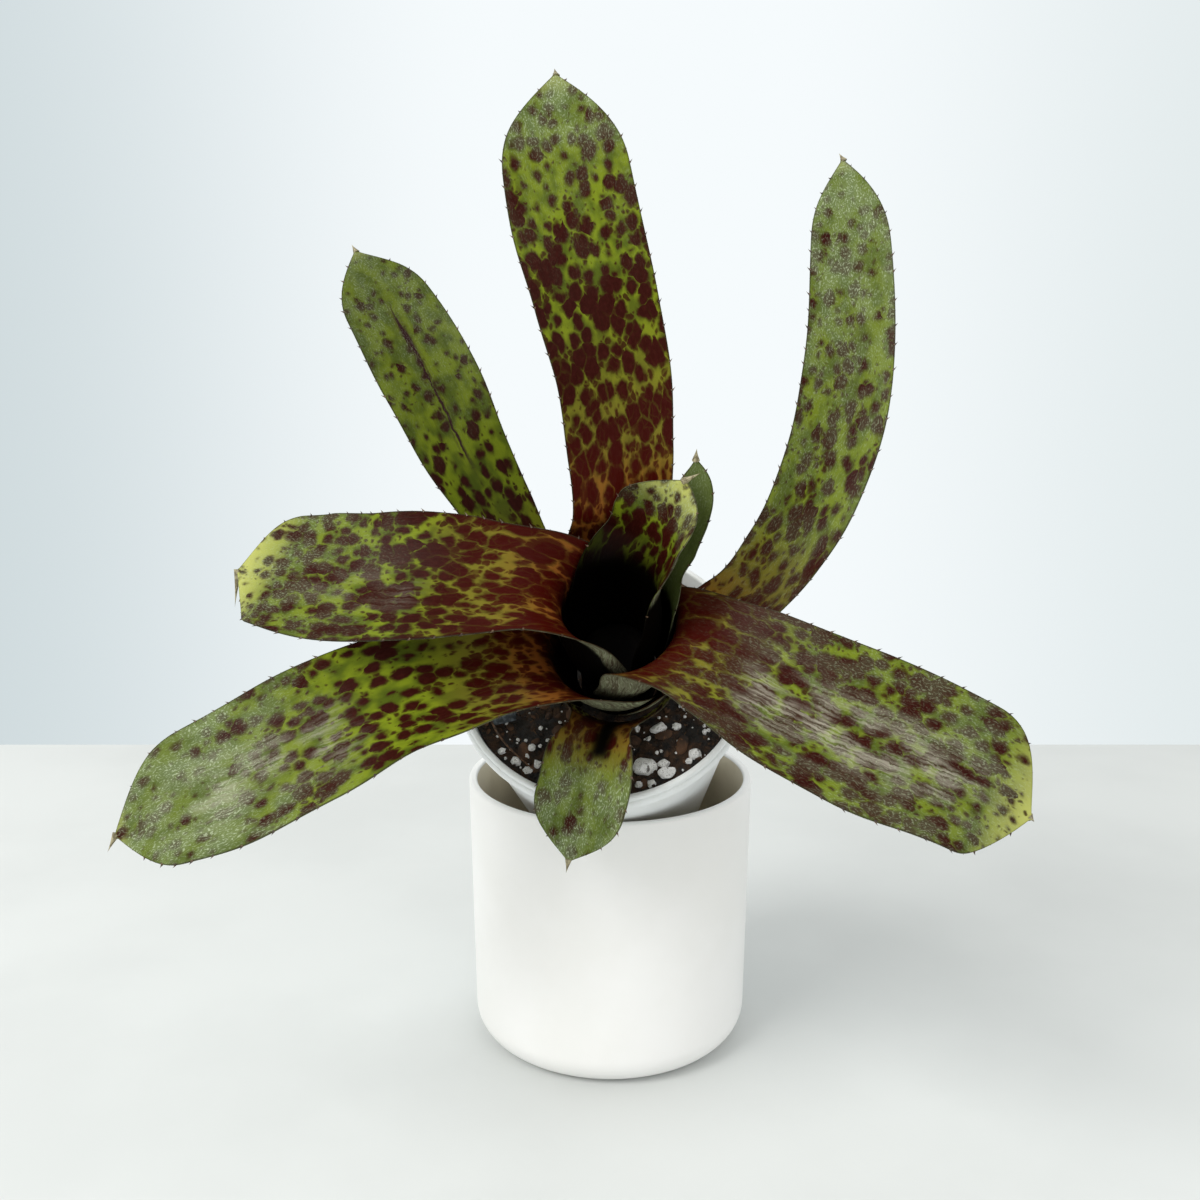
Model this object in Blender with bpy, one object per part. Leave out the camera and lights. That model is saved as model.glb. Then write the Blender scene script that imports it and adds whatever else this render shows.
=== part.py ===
"""A spotted neoregelia in its nursery pot, which leans in the mouth of a plain white pot.

Frame: metres, +Z up. The origin is the middle of the white pot's foot, on the table.
-Y is the side the plant leans to. The plant and its nursery pot are modelled in a frame
of their own, whose origin is the middle of the nursery pot's lip and whose +Z is that
pot's axis. An empty leans that frame. Lengths below are millimetres, turned to metres
where a mesh is made.
"""
import math
import random

import bmesh
import bpy
import numpy as np
from mathutils import Matrix, Vector

MM = 0.001

# White pot, a turned cylinder with a rounded lower edge
POT_HEIGHT = 96.0
POT_RADIUS = 50.0
POT_WALL = 2.8
POT_FLOOR = 4.0
POT_DRAFT = 1.2          # how much slimmer the wall is above the rounded edge
POT_EDGE = 11.0          # radius of the rounded lower edge
POT_RIM_ROUND = 0.9
POT_SIDES = 40

# Nursery pot, thin moulded plastic
LIP_RADIUS = 48.5        # outer radius of the skirt below the lip
LIP_DEPTH = 5.0
LIP_STEP = 1.0           # how far the skirt stands out from the lip's top
SHELL = 1.2
CUP_TOP_RADIUS = 46.9
CUP_BOTTOM_RADIUS = 34.0
CUP_DEPTH = 84.0
CUP_SIDES = 40
DRAIN_RADIUS = 4.0
DRAIN_RING = 25.0
DRAIN_COUNT = 6

# How the nursery pot leans: lip middle, lean towards -Y, and turn of the lean about Z
LIP_MIDDLE = (-2.6, -33.3, 143.7)
LEAN = 45.0
LEAN_TURN = -4.5

# Soil
GAP = 0.3
SOIL_LEVEL = -6.0
SOIL_RINGS = 7
SOIL_SIDES = 36
LUMP_HEIGHT = 1.1
STEM_HOLE_GAP = 0.3
SEEN_GRAINS = [          # white grains in sight at the front: x, y and radius
    (14.7, -32.9, 3.7), (20.6, -31.0, 2.0), (21.4, -34.4, 2.6), (24.4, -18.5, 1.5),
    (30.2, -27.8, 2.2), (28.6, -30.4, 1.3), (13.2, -38.5, 1.5), (16.8, -38.4, 1.5),
    (-21.6, -26.9, 1.3), (-26.4, -32.2, 1.8), (-22.4, -34.8, 1.5), (-31.2, -28.5, 1.4),
]
HIDDEN_GRAINS = 26       # more of them, drawn by a seeded rule elsewhere

# Plant axis in the nursery pot's frame, and the stem
AXIS_X = 5.0
AXIS_Y = -2.0
STEM_RADIUS = 12.0
STEM_TOP = 14.6
STEM_FOOT = -30.0
STEM_SIDES = 24

# Leaves: nested sheaths round the axis, then open blades
NEST_STEP = 1.8          # from one sheath to the next
MOUTH_RADIUS = 14.5      # innermost sheath at the mouth of the cup
SHEATH_LOW = -4.0
SHEATH_RISE = 36.0
SHEATH_FLARE = 12.5
SHEATH_THICK = 1.0
BLADE_THICK = 1.0
MARGIN_THICK = 0.7
ACROSS = 10              # quads across a leaf
SHEATH_STEPS = 4
BLADE_STEPS = 12
TOOTH_LENGTH = 1.2
TOOTH_BASE = 0.6
TIP_HALF = 0.8

# Each leaf: nest from inside out, turn of its foot, heights of foot and mouth, half the
# sheath's width round the axis, channel at the neck and at the tip, roll at the neck and
# at the tip, length of the rounded end, tip spine as a vector, and the blade's route from
# the plant axis with the half width there: (x, y, z, half width)
LEAVES = {
    "leaf_hood": dict(
        nest=0, turn=50, foot=14, mouth=43, sheath=28, channel=(78, 60), roll=(0, 0),
        cap=15, spine=(4.2, -0.5, 4),
        route=[(13.0, 12.5, 52, 18), (16.0, 14.5, 61, 17.5), (18.8, 16.8, 69, 16), (21.6, 20, 75.5, 13)],
    ),
    "leaf_left": dict(
        nest=1, turn=178, foot=12, mouth=41, sheath=30, channel=(64, 14), roll=(-6, 0),
        cap=16, spine=(-0.5, -9, -6),
        route=[(-26, -0.5, 50, 19), (-40, -1.5, 52.5, 21), (-56, -1.5, 53, 22.5), (-74, -0.5, 51, 23),
               (-91, 3.5, 48, 22), (-106, 8, 44, 19.5), (-116.5, 9.5, 41, 16)],
    ),
    "leaf_inner_back": dict(
        nest=2, turn=32, foot=10, mouth=36, sheath=20, channel=(40, 34), roll=(10, 0),
        cap=14, spine=(0, 1.2, 3),
        route=[(16.8, 10.8, 46, 7), (20, 13.6, 54, 7), (22.9, 17, 62, 6.5), (24.3, 20.9, 69, 6.2),
               (24.6, 24.4, 74.5, 5.5), (24.4, 26.6, 77.5, 4)],
    ),
    "leaf_right": dict(
        nest=3, turn=-31, foot=6, mouth=33, sheath=24, channel=(50, 12), roll=(0, 0),
        cap=19, spine=(1, -1, -0.5),
        route=[(25, -15, 38.5, 20), (38, -24, 42.5, 22), (54, -35, 45, 24), (72, -44, 45, 25),
               (90, -51, 44, 24), (105, -57, 40.5, 22.5), (116.5, -63, 35.5, 20)],
    ),
    "leaf_back_tall": dict(
        nest=4, turn=86, foot=3, mouth=32, sheath=26, channel=(44, 12), roll=(0, 0),
        cap=33, spine=(-0.5, 2, 0.5),
        route=[(2.5, 25, 52, 15.5), (2, 36, 69, 16), (0, 49, 86, 17), (-5, 64, 101, 18.2),
               (-11, 82, 115, 18.8), (-15.5, 102, 126, 18), (-18.5, 125, 133, 15.5)],
    ),
    "leaf_front_left": dict(
        nest=5, turn=-143, foot=0, mouth=20, sheath=30, channel=(84, 12), roll=(0, 0),
        cap=25, spine=(-2, -4, -2),
        route=[(-27, -19.5, 31, 17), (-42, -27, 37.5, 19.5), (-60, -35.8, 42, 21.5), (-82, -48.8, 43, 23),
               (-104, -60, 39.5, 22.3), (-124, -67, 34.5, 20), (-139, -73.2, 28, 16.5)],
    ),
    "leaf_back_right": dict(
        nest=6, turn=8, foot=-2, mouth=12, sheath=28, channel=(46, 16), roll=(10, -10),
        cap=33, spine=(-1.5, 2, 1),
        route=[(38, 13, 20, 12.5), (52, 27, 29, 13), (64, 47, 43, 14), (70.5, 71, 58, 14.3),
               (72.2, 95, 69, 13.5), (72, 118, 77, 12.5), (71, 139, 81, 10.5), (70.5, 149, 82, 9)],
    ),
    "leaf_back_left": dict(
        nest=7, turn=146, foot=-3, mouth=10, sheath=26, channel=(46, 14), roll=(0, 0),
        cap=28, spine=(-1.5, 2, 1),
        route=[(-28.5, 24, 24, 11), (-38.5, 37, 37, 12), (-49, 51, 49, 14.2), (-59.5, 69, 59, 15.8),
               (-71, 88, 65, 15.5), (-82, 106, 68, 13.5), (-91, 121, 69, 10.5)],
    ),
    "leaf_front_small": dict(
        nest=8, turn=-97, foot=-3.5, mouth=3, sheath=24, channel=(104, 14), roll=(0, 0),
        cap=20, spine=(-0.5, -3, -2),
        route=[(-4, -26, 9, 10.5), (-6, -36, 11, 14), (-7.5, -45.5, 8, 14.6), (-9.7, -53, 3, 14.3),
               (-11.5, -59, -3, 12.9), (-12.5, -62.5, -7, 11)],
    ),
}


def clear_scene():
    """Remove what the file opens with."""
    for thing in list(bpy.data.objects):
        bpy.data.objects.remove(thing, do_unlink=True)


def make_material(name, colour, roughness, metallic=0.0):
    """A Principled material in one colour."""
    material = bpy.data.materials.new(name)
    material.use_nodes = True
    shader = material.node_tree.nodes["Principled BSDF"]
    shader.inputs["Base Color"].default_value = (*colour, 1.0)
    shader.inputs["Roughness"].default_value = roughness
    shader.inputs["Metallic"].default_value = metallic
    return material


def add_object(name, points, faces, material, parent=None):
    """Make a named object from points in millimetres, with its faces turned outward."""
    mesh = bpy.data.meshes.new(name)
    mesh.from_pydata([Vector(point) * MM for point in points], [], faces)
    body = bmesh.new()
    body.from_mesh(mesh)
    bmesh.ops.recalc_face_normals(body, faces=body.faces)
    body.to_mesh(mesh)
    body.free()
    mesh.materials.append(material)
    mesh.shade_smooth()
    mesh.set_sharp_from_angle(angle=math.radians(35))
    thing = bpy.data.objects.new(name, mesh)
    bpy.context.collection.objects.link(thing)
    thing.parent = parent
    return thing


def arc(centre, radius, start, end, steps):
    """Points on an arc in the profile's plane, angles in degrees."""
    angles = np.radians(np.linspace(start, end, steps + 1))
    return [(centre[0] + radius * math.cos(a), centre[1] + radius * math.sin(a)) for a in angles]


def turned(name, profile, sides, material, parent=None, middle=(0.0, 0.0)):
    """Turn a closed profile of (radius, height) points; radius 0 gives one point on the axis."""
    points = []
    rings = []
    for radius, height in profile:
        if radius == 0.0:
            rings.append([len(points)] * sides)
            points.append((middle[0], middle[1], height))
            continue
        rings.append(list(range(len(points), len(points) + sides)))
        for side in range(sides):
            angle = 2.0 * math.pi * side / sides
            points.append((middle[0] + radius * math.cos(angle), middle[1] + radius * math.sin(angle), height))
    faces = []
    pairs = list(zip(rings, rings[1:]))
    if profile[0][0] != 0.0 or profile[-1][0] != 0.0:
        pairs.append((rings[-1], rings[0]))
    for lower, upper in pairs:
        for side in range(sides):
            after = (side + 1) % sides
            corners = [lower[side], lower[after], upper[after], upper[side]]
            face = list(dict.fromkeys(corners))
            if len(face) > 2:
                faces.append(face)
    return add_object(name, points, faces, material, parent)


def make_outer_pot(material):
    """The white pot: a shell with a rounded rim and a wide rounded lower edge."""
    inner = POT_RADIUS - POT_WALL
    low = POT_RADIUS - POT_DRAFT
    profile = [(0.0, 0.0)]
    profile += arc((low - POT_EDGE, POT_EDGE), POT_EDGE, -90, 0, 6)
    profile += arc((POT_RADIUS - POT_RIM_ROUND, POT_HEIGHT - POT_RIM_ROUND), POT_RIM_ROUND, 0, 90, 2)
    profile += arc((inner + POT_RIM_ROUND, POT_HEIGHT - POT_RIM_ROUND), POT_RIM_ROUND, 90, 180, 2)
    hollow = POT_EDGE - POT_WALL
    profile += arc((low - POT_WALL - hollow, POT_FLOOR + hollow), hollow, 0, -90, 4)
    profile.append((0.0, POT_FLOOR))
    return turned("outer_pot", profile, POT_SIDES, material)


def cup_radius(height):
    """Outer radius of the nursery pot's wall at a height below its lip."""
    return CUP_TOP_RADIUS + (CUP_TOP_RADIUS - CUP_BOTTOM_RADIUS) * height / CUP_DEPTH


def make_nursery_pot(material, lean):
    """The thin nursery pot: lip with a skirt and two ridges, tapered wall, drained floor."""
    top = LIP_RADIUS - LIP_STEP
    inner_top = CUP_TOP_RADIUS - SHELL
    inner_bottom = CUP_BOTTOM_RADIUS - SHELL
    profile = [
        (0.0, -CUP_DEPTH + SHELL), (inner_bottom - 1.0, -CUP_DEPTH + SHELL),
        (inner_bottom, -CUP_DEPTH + SHELL + 1.5), (inner_top, -1.0), (inner_top + 0.5, 0.0),
        (top - 0.4, 0.0), (top + 0.1, -0.6), (top + 0.15, -2.0), (top + 0.7, -2.4),
        (LIP_RADIUS - 0.1, -LIP_DEPTH + 0.6), (LIP_RADIUS, -LIP_DEPTH),
        (LIP_RADIUS - 1.2, -LIP_DEPTH - 0.1), (cup_radius(-3.2), -3.2), (cup_radius(-30.0), -30.0),
        (CUP_BOTTOM_RADIUS, -CUP_DEPTH + 1.8), (CUP_BOTTOM_RADIUS - 1.8, -CUP_DEPTH), (0.0, -CUP_DEPTH),
    ]
    pot = turned("nursery_pot", profile, CUP_SIDES, material, lean)
    for index in range(DRAIN_COUNT):
        angle = 2.0 * math.pi * (index + 0.5) / DRAIN_COUNT
        spot = (DRAIN_RING * math.cos(angle), DRAIN_RING * math.sin(angle))
        ends = [(0.0, -CUP_DEPTH - 2.0), (DRAIN_RADIUS, -CUP_DEPTH - 2.0),
                (DRAIN_RADIUS, -CUP_DEPTH + SHELL + 2.0), (0.0, -CUP_DEPTH + SHELL + 2.0)]
        drill = turned(f"drain_drill_{index + 1}", ends, 10, material, lean, spot)
        drill.hide_render = True
        drill.display_type = "WIRE"
        cut = pot.modifiers.new(f"drain_{index + 1}", "BOOLEAN")
        cut.operation = "DIFFERENCE"
        cut.solver = "EXACT"
        cut.object = drill
    return pot


def lump(x, y):
    """Height of the soil's coarse lumps, from a few crossing waves."""
    wave = math.sin(0.31 * x + 1.3) * math.cos(0.27 * y - 0.6)
    ripple = math.sin(0.62 * x - 0.5 * y + 2.0) * math.cos(0.55 * y + 0.23 * x)
    return LUMP_HEIGHT * (0.65 * wave + 0.45 * ripple)


def make_soil(material, lean):
    """The soil plug: a lumpy top with coarse white grains sunk in it, and a hole for the stem."""
    hole = STEM_RADIUS + STEM_HOLE_GAP
    wall = cup_radius(SOIL_LEVEL) - SHELL - GAP
    wall_low = cup_radius(-CUP_DEPTH + SHELL + GAP) - SHELL - GAP - 1.2
    bottom = -CUP_DEPTH + SHELL + GAP
    points = []
    rings = []

    def ring(share, height, at_hole, at_wall):
        """One ring of points between the stem hole and the pot's wall."""
        start = len(points)
        for side in range(SOIL_SIDES):
            angle = 2.0 * math.pi * side / SOIL_SIDES
            inner = (AXIS_X + at_hole * math.cos(angle), AXIS_Y + at_hole * math.sin(angle))
            outer = (at_wall * math.cos(angle), at_wall * math.sin(angle))
            x = inner[0] + (outer[0] - inner[0]) * share
            y = inner[1] + (outer[1] - inner[1]) * share
            z = height if height is not None else SOIL_LEVEL + lump(x, y) * math.sin(math.pi * share) ** 0.5
            points.append((x, y, z))
        rings.append(list(range(start, start + SOIL_SIDES)))

    for step in range(SOIL_RINGS + 1):
        ring(step / SOIL_RINGS, None, hole, wall)
    ring(1.0, bottom, hole, wall_low)
    ring(0.0, STEM_FOOT - GAP, hole, wall)
    faces = []
    for first, second in zip(rings[:-1], rings[1:-1]):
        for side in range(SOIL_SIDES):
            after = (side + 1) % SOIL_SIDES
            faces.append([first[side], first[after], second[after], second[side]])
    pit, top = rings[-1], rings[0]
    for side in range(SOIL_SIDES):
        after = (side + 1) % SOIL_SIDES
        faces.append([top[side], top[after], pit[after], pit[side]])
    faces.append(pit)
    faces.append(rings[-2])
    soil = add_object("soil", points, faces, material, lean)
    grains = bpy.data.collections.new("soil_grains")
    bpy.context.scene.collection.children.link(grains)
    for grain in scatter_grains(hole, wall):
        make_grain(grain, material, lean, grains)
    join = soil.modifiers.new("grains", "BOOLEAN")
    join.operation = "UNION"
    join.solver = "EXACT"
    join.operand_type = "COLLECTION"
    join.collection = grains
    bpy.context.view_layer.update()
    graph = bpy.context.evaluated_depsgraph_get()
    fused = bpy.data.meshes.new_from_object(soil.evaluated_get(graph))
    soil.modifiers.clear()
    soil.data = fused
    for thing in list(grains.objects):
        bpy.data.objects.remove(thing, do_unlink=True)
    bpy.data.collections.remove(grains)
    return soil


def scatter_grains(hole, wall):
    """The grains in sight, then seeded places and radii for the others, each clear of the rest."""
    draw = random.Random(5)
    placed = [(x, y, size, 0.7 * index) for index, (x, y, size) in enumerate(SEEN_GRAINS)]
    while len(placed) < len(SEEN_GRAINS) + HIDDEN_GRAINS:
        size = draw.uniform(1.3, 2.6)
        angle = draw.uniform(0.0, 2.0 * math.pi)
        reach = math.sqrt(draw.uniform((hole + 9.0) ** 2, (wall - 3.4) ** 2))
        x = reach * math.cos(angle)
        y = reach * math.sin(angle)
        turn = draw.uniform(0.0, math.pi)
        if math.hypot(x - AXIS_X, y - AXIS_Y) < hole + 7.0:
            continue
        if all(math.hypot(x - other[0], y - other[1]) > size + other[2] + 0.4 for other in placed):
            placed.append((x, y, size, turn))
    return placed


def make_grain(grain, material, lean, collection):
    """One faceted grain, sunk by more than half into the soil."""
    x, y, size, turn = grain
    mesh = bpy.data.meshes.new("grain")
    body = bmesh.new()
    bmesh.ops.create_icosphere(body, subdivisions=1, radius=size * MM)
    place = Matrix.Translation(Vector((x, y, SOIL_LEVEL + lump(x, y) * 0.8 + 0.15 * size)) * MM)
    squash = Matrix.Diagonal((1.0, 0.8, 0.75, 1.0))
    body.transform(place @ Matrix.Rotation(turn, 4, "Z") @ Matrix.Rotation(turn * 1.7, 4, "X") @ squash)
    body.to_mesh(mesh)
    body.free()
    mesh.materials.append(material)
    thing = bpy.data.objects.new("grain", mesh)
    collection.objects.link(thing)
    thing.parent = lean


def make_stem(material, lean):
    """The short stem that the leaves sit round, rounded on top, standing in the soil."""
    dome = arc((STEM_RADIUS - 5.0, STEM_TOP - 5.0), 5.0, 0, 90, 3)
    foot = [(0.0, STEM_FOOT), (7.0, STEM_FOOT), (STEM_RADIUS - 1.0, STEM_FOOT + 8.0)]
    profile = foot + [(STEM_RADIUS, SOIL_LEVEL)] + dome + [(0.0, STEM_TOP)]
    return turned("stem", profile, STEM_SIDES, material, lean, (AXIS_X, AXIS_Y))


def smooth_step(value):
    """Ease from 0 to 1."""
    value = np.clip(value, 0.0, 1.0)
    return value * value * (3.0 - 2.0 * value)


def curve_through(knots, values, at):
    """Smooth curve through values at knots, with slopes from the neighbouring points."""
    knots = np.asarray(knots, float)
    values = np.asarray(values, float)
    slopes = np.gradient(values, knots, axis=0)
    index = np.clip(np.searchsorted(knots, at, side="right") - 1, 0, len(knots) - 2)
    width = knots[index + 1] - knots[index]
    share = (at - knots[index]) / width
    if values.ndim > 1:
        share = share[:, None]
        width = width[:, None]
    start = 2 * share ** 3 - 3 * share ** 2 + 1
    rise = share ** 3 - 2 * share ** 2 + share
    end = -2 * share ** 3 + 3 * share ** 2
    fall = share ** 3 - share ** 2
    return (start * values[index] + rise * width * slopes[index]
            + end * values[index + 1] + fall * width * slopes[index + 1])


def sheath_radius(nest, height):
    """Distance of a sheath's middle surface from the plant axis."""
    share = np.clip((height - SHEATH_LOW) / SHEATH_RISE, 0.0, 1.0)
    return MOUTH_RADIUS - SHEATH_FLARE * (1.0 - share) ** 2 + NEST_STEP * nest


def leaf_line(leaf):
    """The leaf's middle line: knots along it, places, half widths, and where the blade starts."""
    turn = math.radians(leaf["turn"])
    heights = np.linspace(leaf["foot"], leaf["mouth"], 4)
    sheath = [(sheath_radius(leaf["nest"], z) * math.cos(turn),
               sheath_radius(leaf["nest"], z) * math.sin(turn), z) for z in heights]
    blade = [point[:3] for point in leaf["route"]]
    places = np.array(sheath + blade, float)
    steps = np.linalg.norm(np.diff(places, axis=0), axis=1)
    knots = np.concatenate([[0.0], np.cumsum(steps)])
    neck = leaf["route"][0][3]
    wide = leaf["sheath"]
    widths = [wide * 0.8, wide, wide, 0.5 * (wide + neck)]
    widths += [point[3] for point in leaf["route"]]
    return knots, places, np.array(widths, float), knots[3]


def leaf_stations(knots, mouth):
    """Distances along the leaf: even in the sheath, closer together towards the tip."""
    sheath = np.linspace(0.0, mouth, SHEATH_STEPS + 1)
    share = np.linspace(0.0, 1.0, BLADE_STEPS + 1)[1:]
    blade = mouth + (knots[-1] - mouth) * (0.62 * share + 0.38 * np.sin(share * math.pi / 2.0))
    return np.concatenate([sheath, blade])


def leaf_surface(leaf, stations, across):
    """Middle surface of a leaf as a grid of points."""
    knots, places, widths, mouth = leaf_line(leaf)
    line = curve_through(knots, places, stations)
    half = curve_through(knots, widths, stations)
    length = knots[-1]
    end = np.clip((stations - (length - leaf["cap"])) / leaf["cap"], 0.0, 1.0)
    half = np.maximum(half * (1.0 - end ** 2.3), TIP_HALF)
    ahead = curve_through(knots, places, np.minimum(stations + 0.5, length))
    behind = curve_through(knots, places, np.maximum(stations - 0.5, 0.0))
    tangent = ahead - behind
    tangent /= np.linalg.norm(tangent, axis=1)[:, None]
    up = np.array([0.0, 0.0, 1.0])
    side = np.cross(up, tangent)
    side /= np.linalg.norm(side, axis=1)[:, None]
    face = np.cross(tangent, side)
    radial = line * np.array([1.0, 1.0, 0.0])
    radius = np.linalg.norm(radial, axis=1)
    inward = -radial / radius[:, None]
    share = np.clip((stations - mouth) / (length - mouth), 0.0, 1.0)
    open_up = smooth_step((stations - mouth + 4.0) / 22.0)[:, None]
    face = inward * (1.0 - open_up) + face * open_up
    face /= np.linalg.norm(face, axis=1)[:, None]
    round_axis = np.cross(up, -inward)
    side = round_axis * (1.0 - open_up) + side * open_up
    side -= face * np.sum(side * face, axis=1)[:, None]
    side /= np.linalg.norm(side, axis=1)[:, None]
    roll = np.radians(leaf["roll"][0] + (leaf["roll"][1] - leaf["roll"][0]) * share)
    roll = (roll * smooth_step(share / 0.2))[:, None]
    side, face = side * np.cos(roll) + face * np.sin(roll), face * np.cos(roll) - side * np.sin(roll)
    neck, tip = np.radians(leaf["channel"])
    channel = tip + (neck - tip) * (1.0 - share) ** 2.2
    wrap_blade = np.maximum(channel * half / np.max(half[SHEATH_STEPS + 3:]), 0.02)
    wrap_sheath = half / radius
    spread = smooth_step((stations - mouth + 2.0) / 34.0)
    wrap = wrap_sheath * (1.0 - spread) + wrap_blade * spread
    bend = half / wrap
    angle = wrap[:, None] * np.linspace(-1.0, 1.0, across + 1)[None, :]
    sideways = (bend[:, None] * np.sin(angle))[..., None] * side[:, None, :]
    lifted = (bend[:, None] * (1.0 - np.cos(angle)))[..., None] * face[:, None, :]
    grid = line[:, None, :] + sideways + lifted
    return grid + np.array([AXIS_X, AXIS_Y, 0.0])


def surface_normals(grid):
    """Unit normals of a grid of points, on the side that faces the plant axis or the sky."""
    along = np.gradient(grid, axis=0)
    across = np.gradient(grid, axis=1)
    normal = np.cross(along, across)
    normal /= np.linalg.norm(normal, axis=2)[..., None]
    return normal


def strip(left, right):
    """Triangles between two chains of points, as a fan over the longer chain."""
    faces = []
    if len(left) >= len(right):
        for first, second in zip(left, left[1:]):
            faces.append((right[0], first, second))
        faces.append((right[0], left[-1], right[-1]))
    else:
        for first, second in zip(right, right[1:]):
            faces.append((left[0], second, first))
        faces.append((left[0], left[-1], right[-1]))
    return faces


def make_leaf(name, leaf, material, lean, seed):
    """One leaf: sheath and blade in one closed body, with teeth on both edges and a tip spine."""
    draw = random.Random(seed)
    knots, _, _, mouth = leaf_line(leaf)
    stations = leaf_stations(knots, mouth)
    grid = leaf_surface(leaf, stations, ACROSS)
    normal = surface_normals(grid)
    rows = len(stations)
    inside = 1.0 - np.abs(np.linspace(-1.0, 1.0, ACROSS + 1)) ** 3
    thick = MARGIN_THICK + (BLADE_THICK - MARGIN_THICK) * inside
    thick = np.repeat(thick[None, :], rows, axis=0)
    thick[stations <= mouth] = SHEATH_THICK
    upper = grid + normal * thick[..., None] / 2.0
    lower = grid - normal * thick[..., None] / 2.0
    points = [tuple(point) for point in np.concatenate([upper, lower]).reshape(-1, 3)]
    count = rows * (ACROSS + 1)

    def top(row, column):
        return row * (ACROSS + 1) + column

    faces = []
    chains = {}
    for column, outward in ((0, -1), (ACROSS, 1)):
        beside = 1 if column == 0 else ACROSS - 1
        for row in range(rows - 1):
            chain = [top(row, column), top(row + 1, column)]
            under = [index + count for index in chain]
            apex = None
            step = upper[row + 1, column] - upper[row, column]
            span = float(np.linalg.norm(step))
            has_tooth = SHEATH_STEPS + 1 <= row < rows - 2 and span > 4.0 * TOOTH_BASE
            if has_tooth:
                centre = draw.uniform(0.35, 0.65)
                shares = (centre - TOOTH_BASE / span, centre + TOOTH_BASE / span)
                for source, target in ((upper, chain), (lower, under)):
                    target[1:1] = [len(points), len(points) + 1]
                    first, second = source[row, column], source[row + 1, column]
                    points.extend(tuple(first * (1.0 - part) + second * part) for part in shares)
                root = grid[row, column] + (grid[row + 1, column] - grid[row, column]) * centre
                away = grid[row, column] - grid[row, beside]
                away /= np.linalg.norm(away)
                lean_on = step / span
                apex = len(points)
                points.append(tuple(root + (away + 0.35 * lean_on) * TOOTH_LENGTH * draw.uniform(0.8, 1.15)))
            chains[(row, column)] = (chain, under, apex)
    for row in range(rows - 1):
        for column in range(ACROSS):
            left = [top(row, column), top(row + 1, column)]
            right = [top(row, column + 1), top(row + 1, column + 1)]
            left_low = [index + count for index in left]
            right_low = [index + count for index in right]
            if column == 0:
                left, left_low = chains[(row, 0)][:2]
            if column == ACROSS - 1:
                right, right_low = chains[(row, ACROSS)][:2]
            faces.extend(strip(left, right))
            faces.extend(face[::-1] for face in strip(left_low, right_low))
    for chain, under, apex in chains.values():
        for place, pair in enumerate(zip(chain, chain[1:], under, under[1:])):
            first, second, first_low, second_low = pair
            corners = [first, second, second_low, first_low]
            if apex is not None and place == 1:
                faces.extend((a, b, apex) for a, b in zip(corners, corners[1:] + corners[:1]))
            else:
                faces.append(tuple(corners))
    for column in range(ACROSS):
        faces.append((top(0, column), top(0, column + 1), top(0, column + 1) + count, top(0, column) + count))
    last = rows - 1
    spine = len(points)
    points.append(tuple(grid[last].mean(axis=0) + np.array(leaf["spine"], float)))
    for column in range(ACROSS):
        faces.append((top(last, column), top(last, column + 1), spine))
        faces.append((top(last, column + 1) + count, top(last, column) + count, spine))
    for column in (0, ACROSS):
        faces.append((top(last, column), top(last, column) + count, spine))
    return add_object(name, points, faces, material, lean)


def build():
    """Make every sub-part in its place."""
    clear_scene()
    lean = bpy.data.objects.new("lean", None)
    bpy.context.collection.objects.link(lean)
    turn = Matrix.Rotation(math.radians(LEAN_TURN), 4, "Z") @ Matrix.Rotation(math.radians(LEAN), 4, "X")
    lean.matrix_world = Matrix.Translation(Vector(LIP_MIDDLE) * MM) @ turn
    white_glaze = make_material("white_matt_ceramic", (0.87, 0.88, 0.86), 0.45)
    white_plastic = make_material("white_plastic", (0.84, 0.86, 0.87), 0.35)
    bark_mix = make_material("bark_and_perlite_mix", (0.035, 0.025, 0.02), 0.95)
    stem_skin = make_material("stem_skin", (0.18, 0.16, 0.10), 0.8)
    spotted = make_material("spotted_leaf", (0.20, 0.25, 0.04), 0.4)
    plain_green = make_material("plain_green_leaf", (0.06, 0.15, 0.04), 0.4)
    make_outer_pot(white_glaze)
    make_nursery_pot(white_plastic, lean)
    make_soil(bark_mix, lean)
    make_stem(stem_skin, lean)
    for seed, (name, leaf) in enumerate(LEAVES.items()):
        material = plain_green if name == "leaf_inner_back" else spotted
        make_leaf(name, leaf, material, lean, seed + 11)


build()
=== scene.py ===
# %% [markdown]
# # A spotted neoregelia in a leaning nursery pot
# A young neoregelia: nine leathery leaves whose feet wrap round each other into a cup, in a
# thin nursery pot that leans in the mouth of a plain white pot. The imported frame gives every
# solid its place. This script gives each of them a finished skin in the same place, so the
# leaf table below repeats the sizes that the solids were built from, in millimetres.

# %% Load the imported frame
import math
import random

import bmesh
import bpy
import numpy as np
from mathutils import Matrix, Vector


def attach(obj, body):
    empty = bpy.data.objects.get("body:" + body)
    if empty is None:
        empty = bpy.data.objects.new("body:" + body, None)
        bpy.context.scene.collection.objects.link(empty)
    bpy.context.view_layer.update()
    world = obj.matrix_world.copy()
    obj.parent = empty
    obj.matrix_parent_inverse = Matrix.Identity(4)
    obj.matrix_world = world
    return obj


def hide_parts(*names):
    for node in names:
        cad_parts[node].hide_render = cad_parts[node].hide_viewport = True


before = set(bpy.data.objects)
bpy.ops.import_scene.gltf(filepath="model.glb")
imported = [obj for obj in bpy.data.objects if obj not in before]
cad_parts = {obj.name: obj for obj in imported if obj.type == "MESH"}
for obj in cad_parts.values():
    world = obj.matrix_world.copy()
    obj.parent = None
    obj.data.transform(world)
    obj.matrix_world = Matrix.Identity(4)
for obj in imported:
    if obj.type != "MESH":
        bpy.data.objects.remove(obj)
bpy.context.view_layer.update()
MM = 0.001
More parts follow.
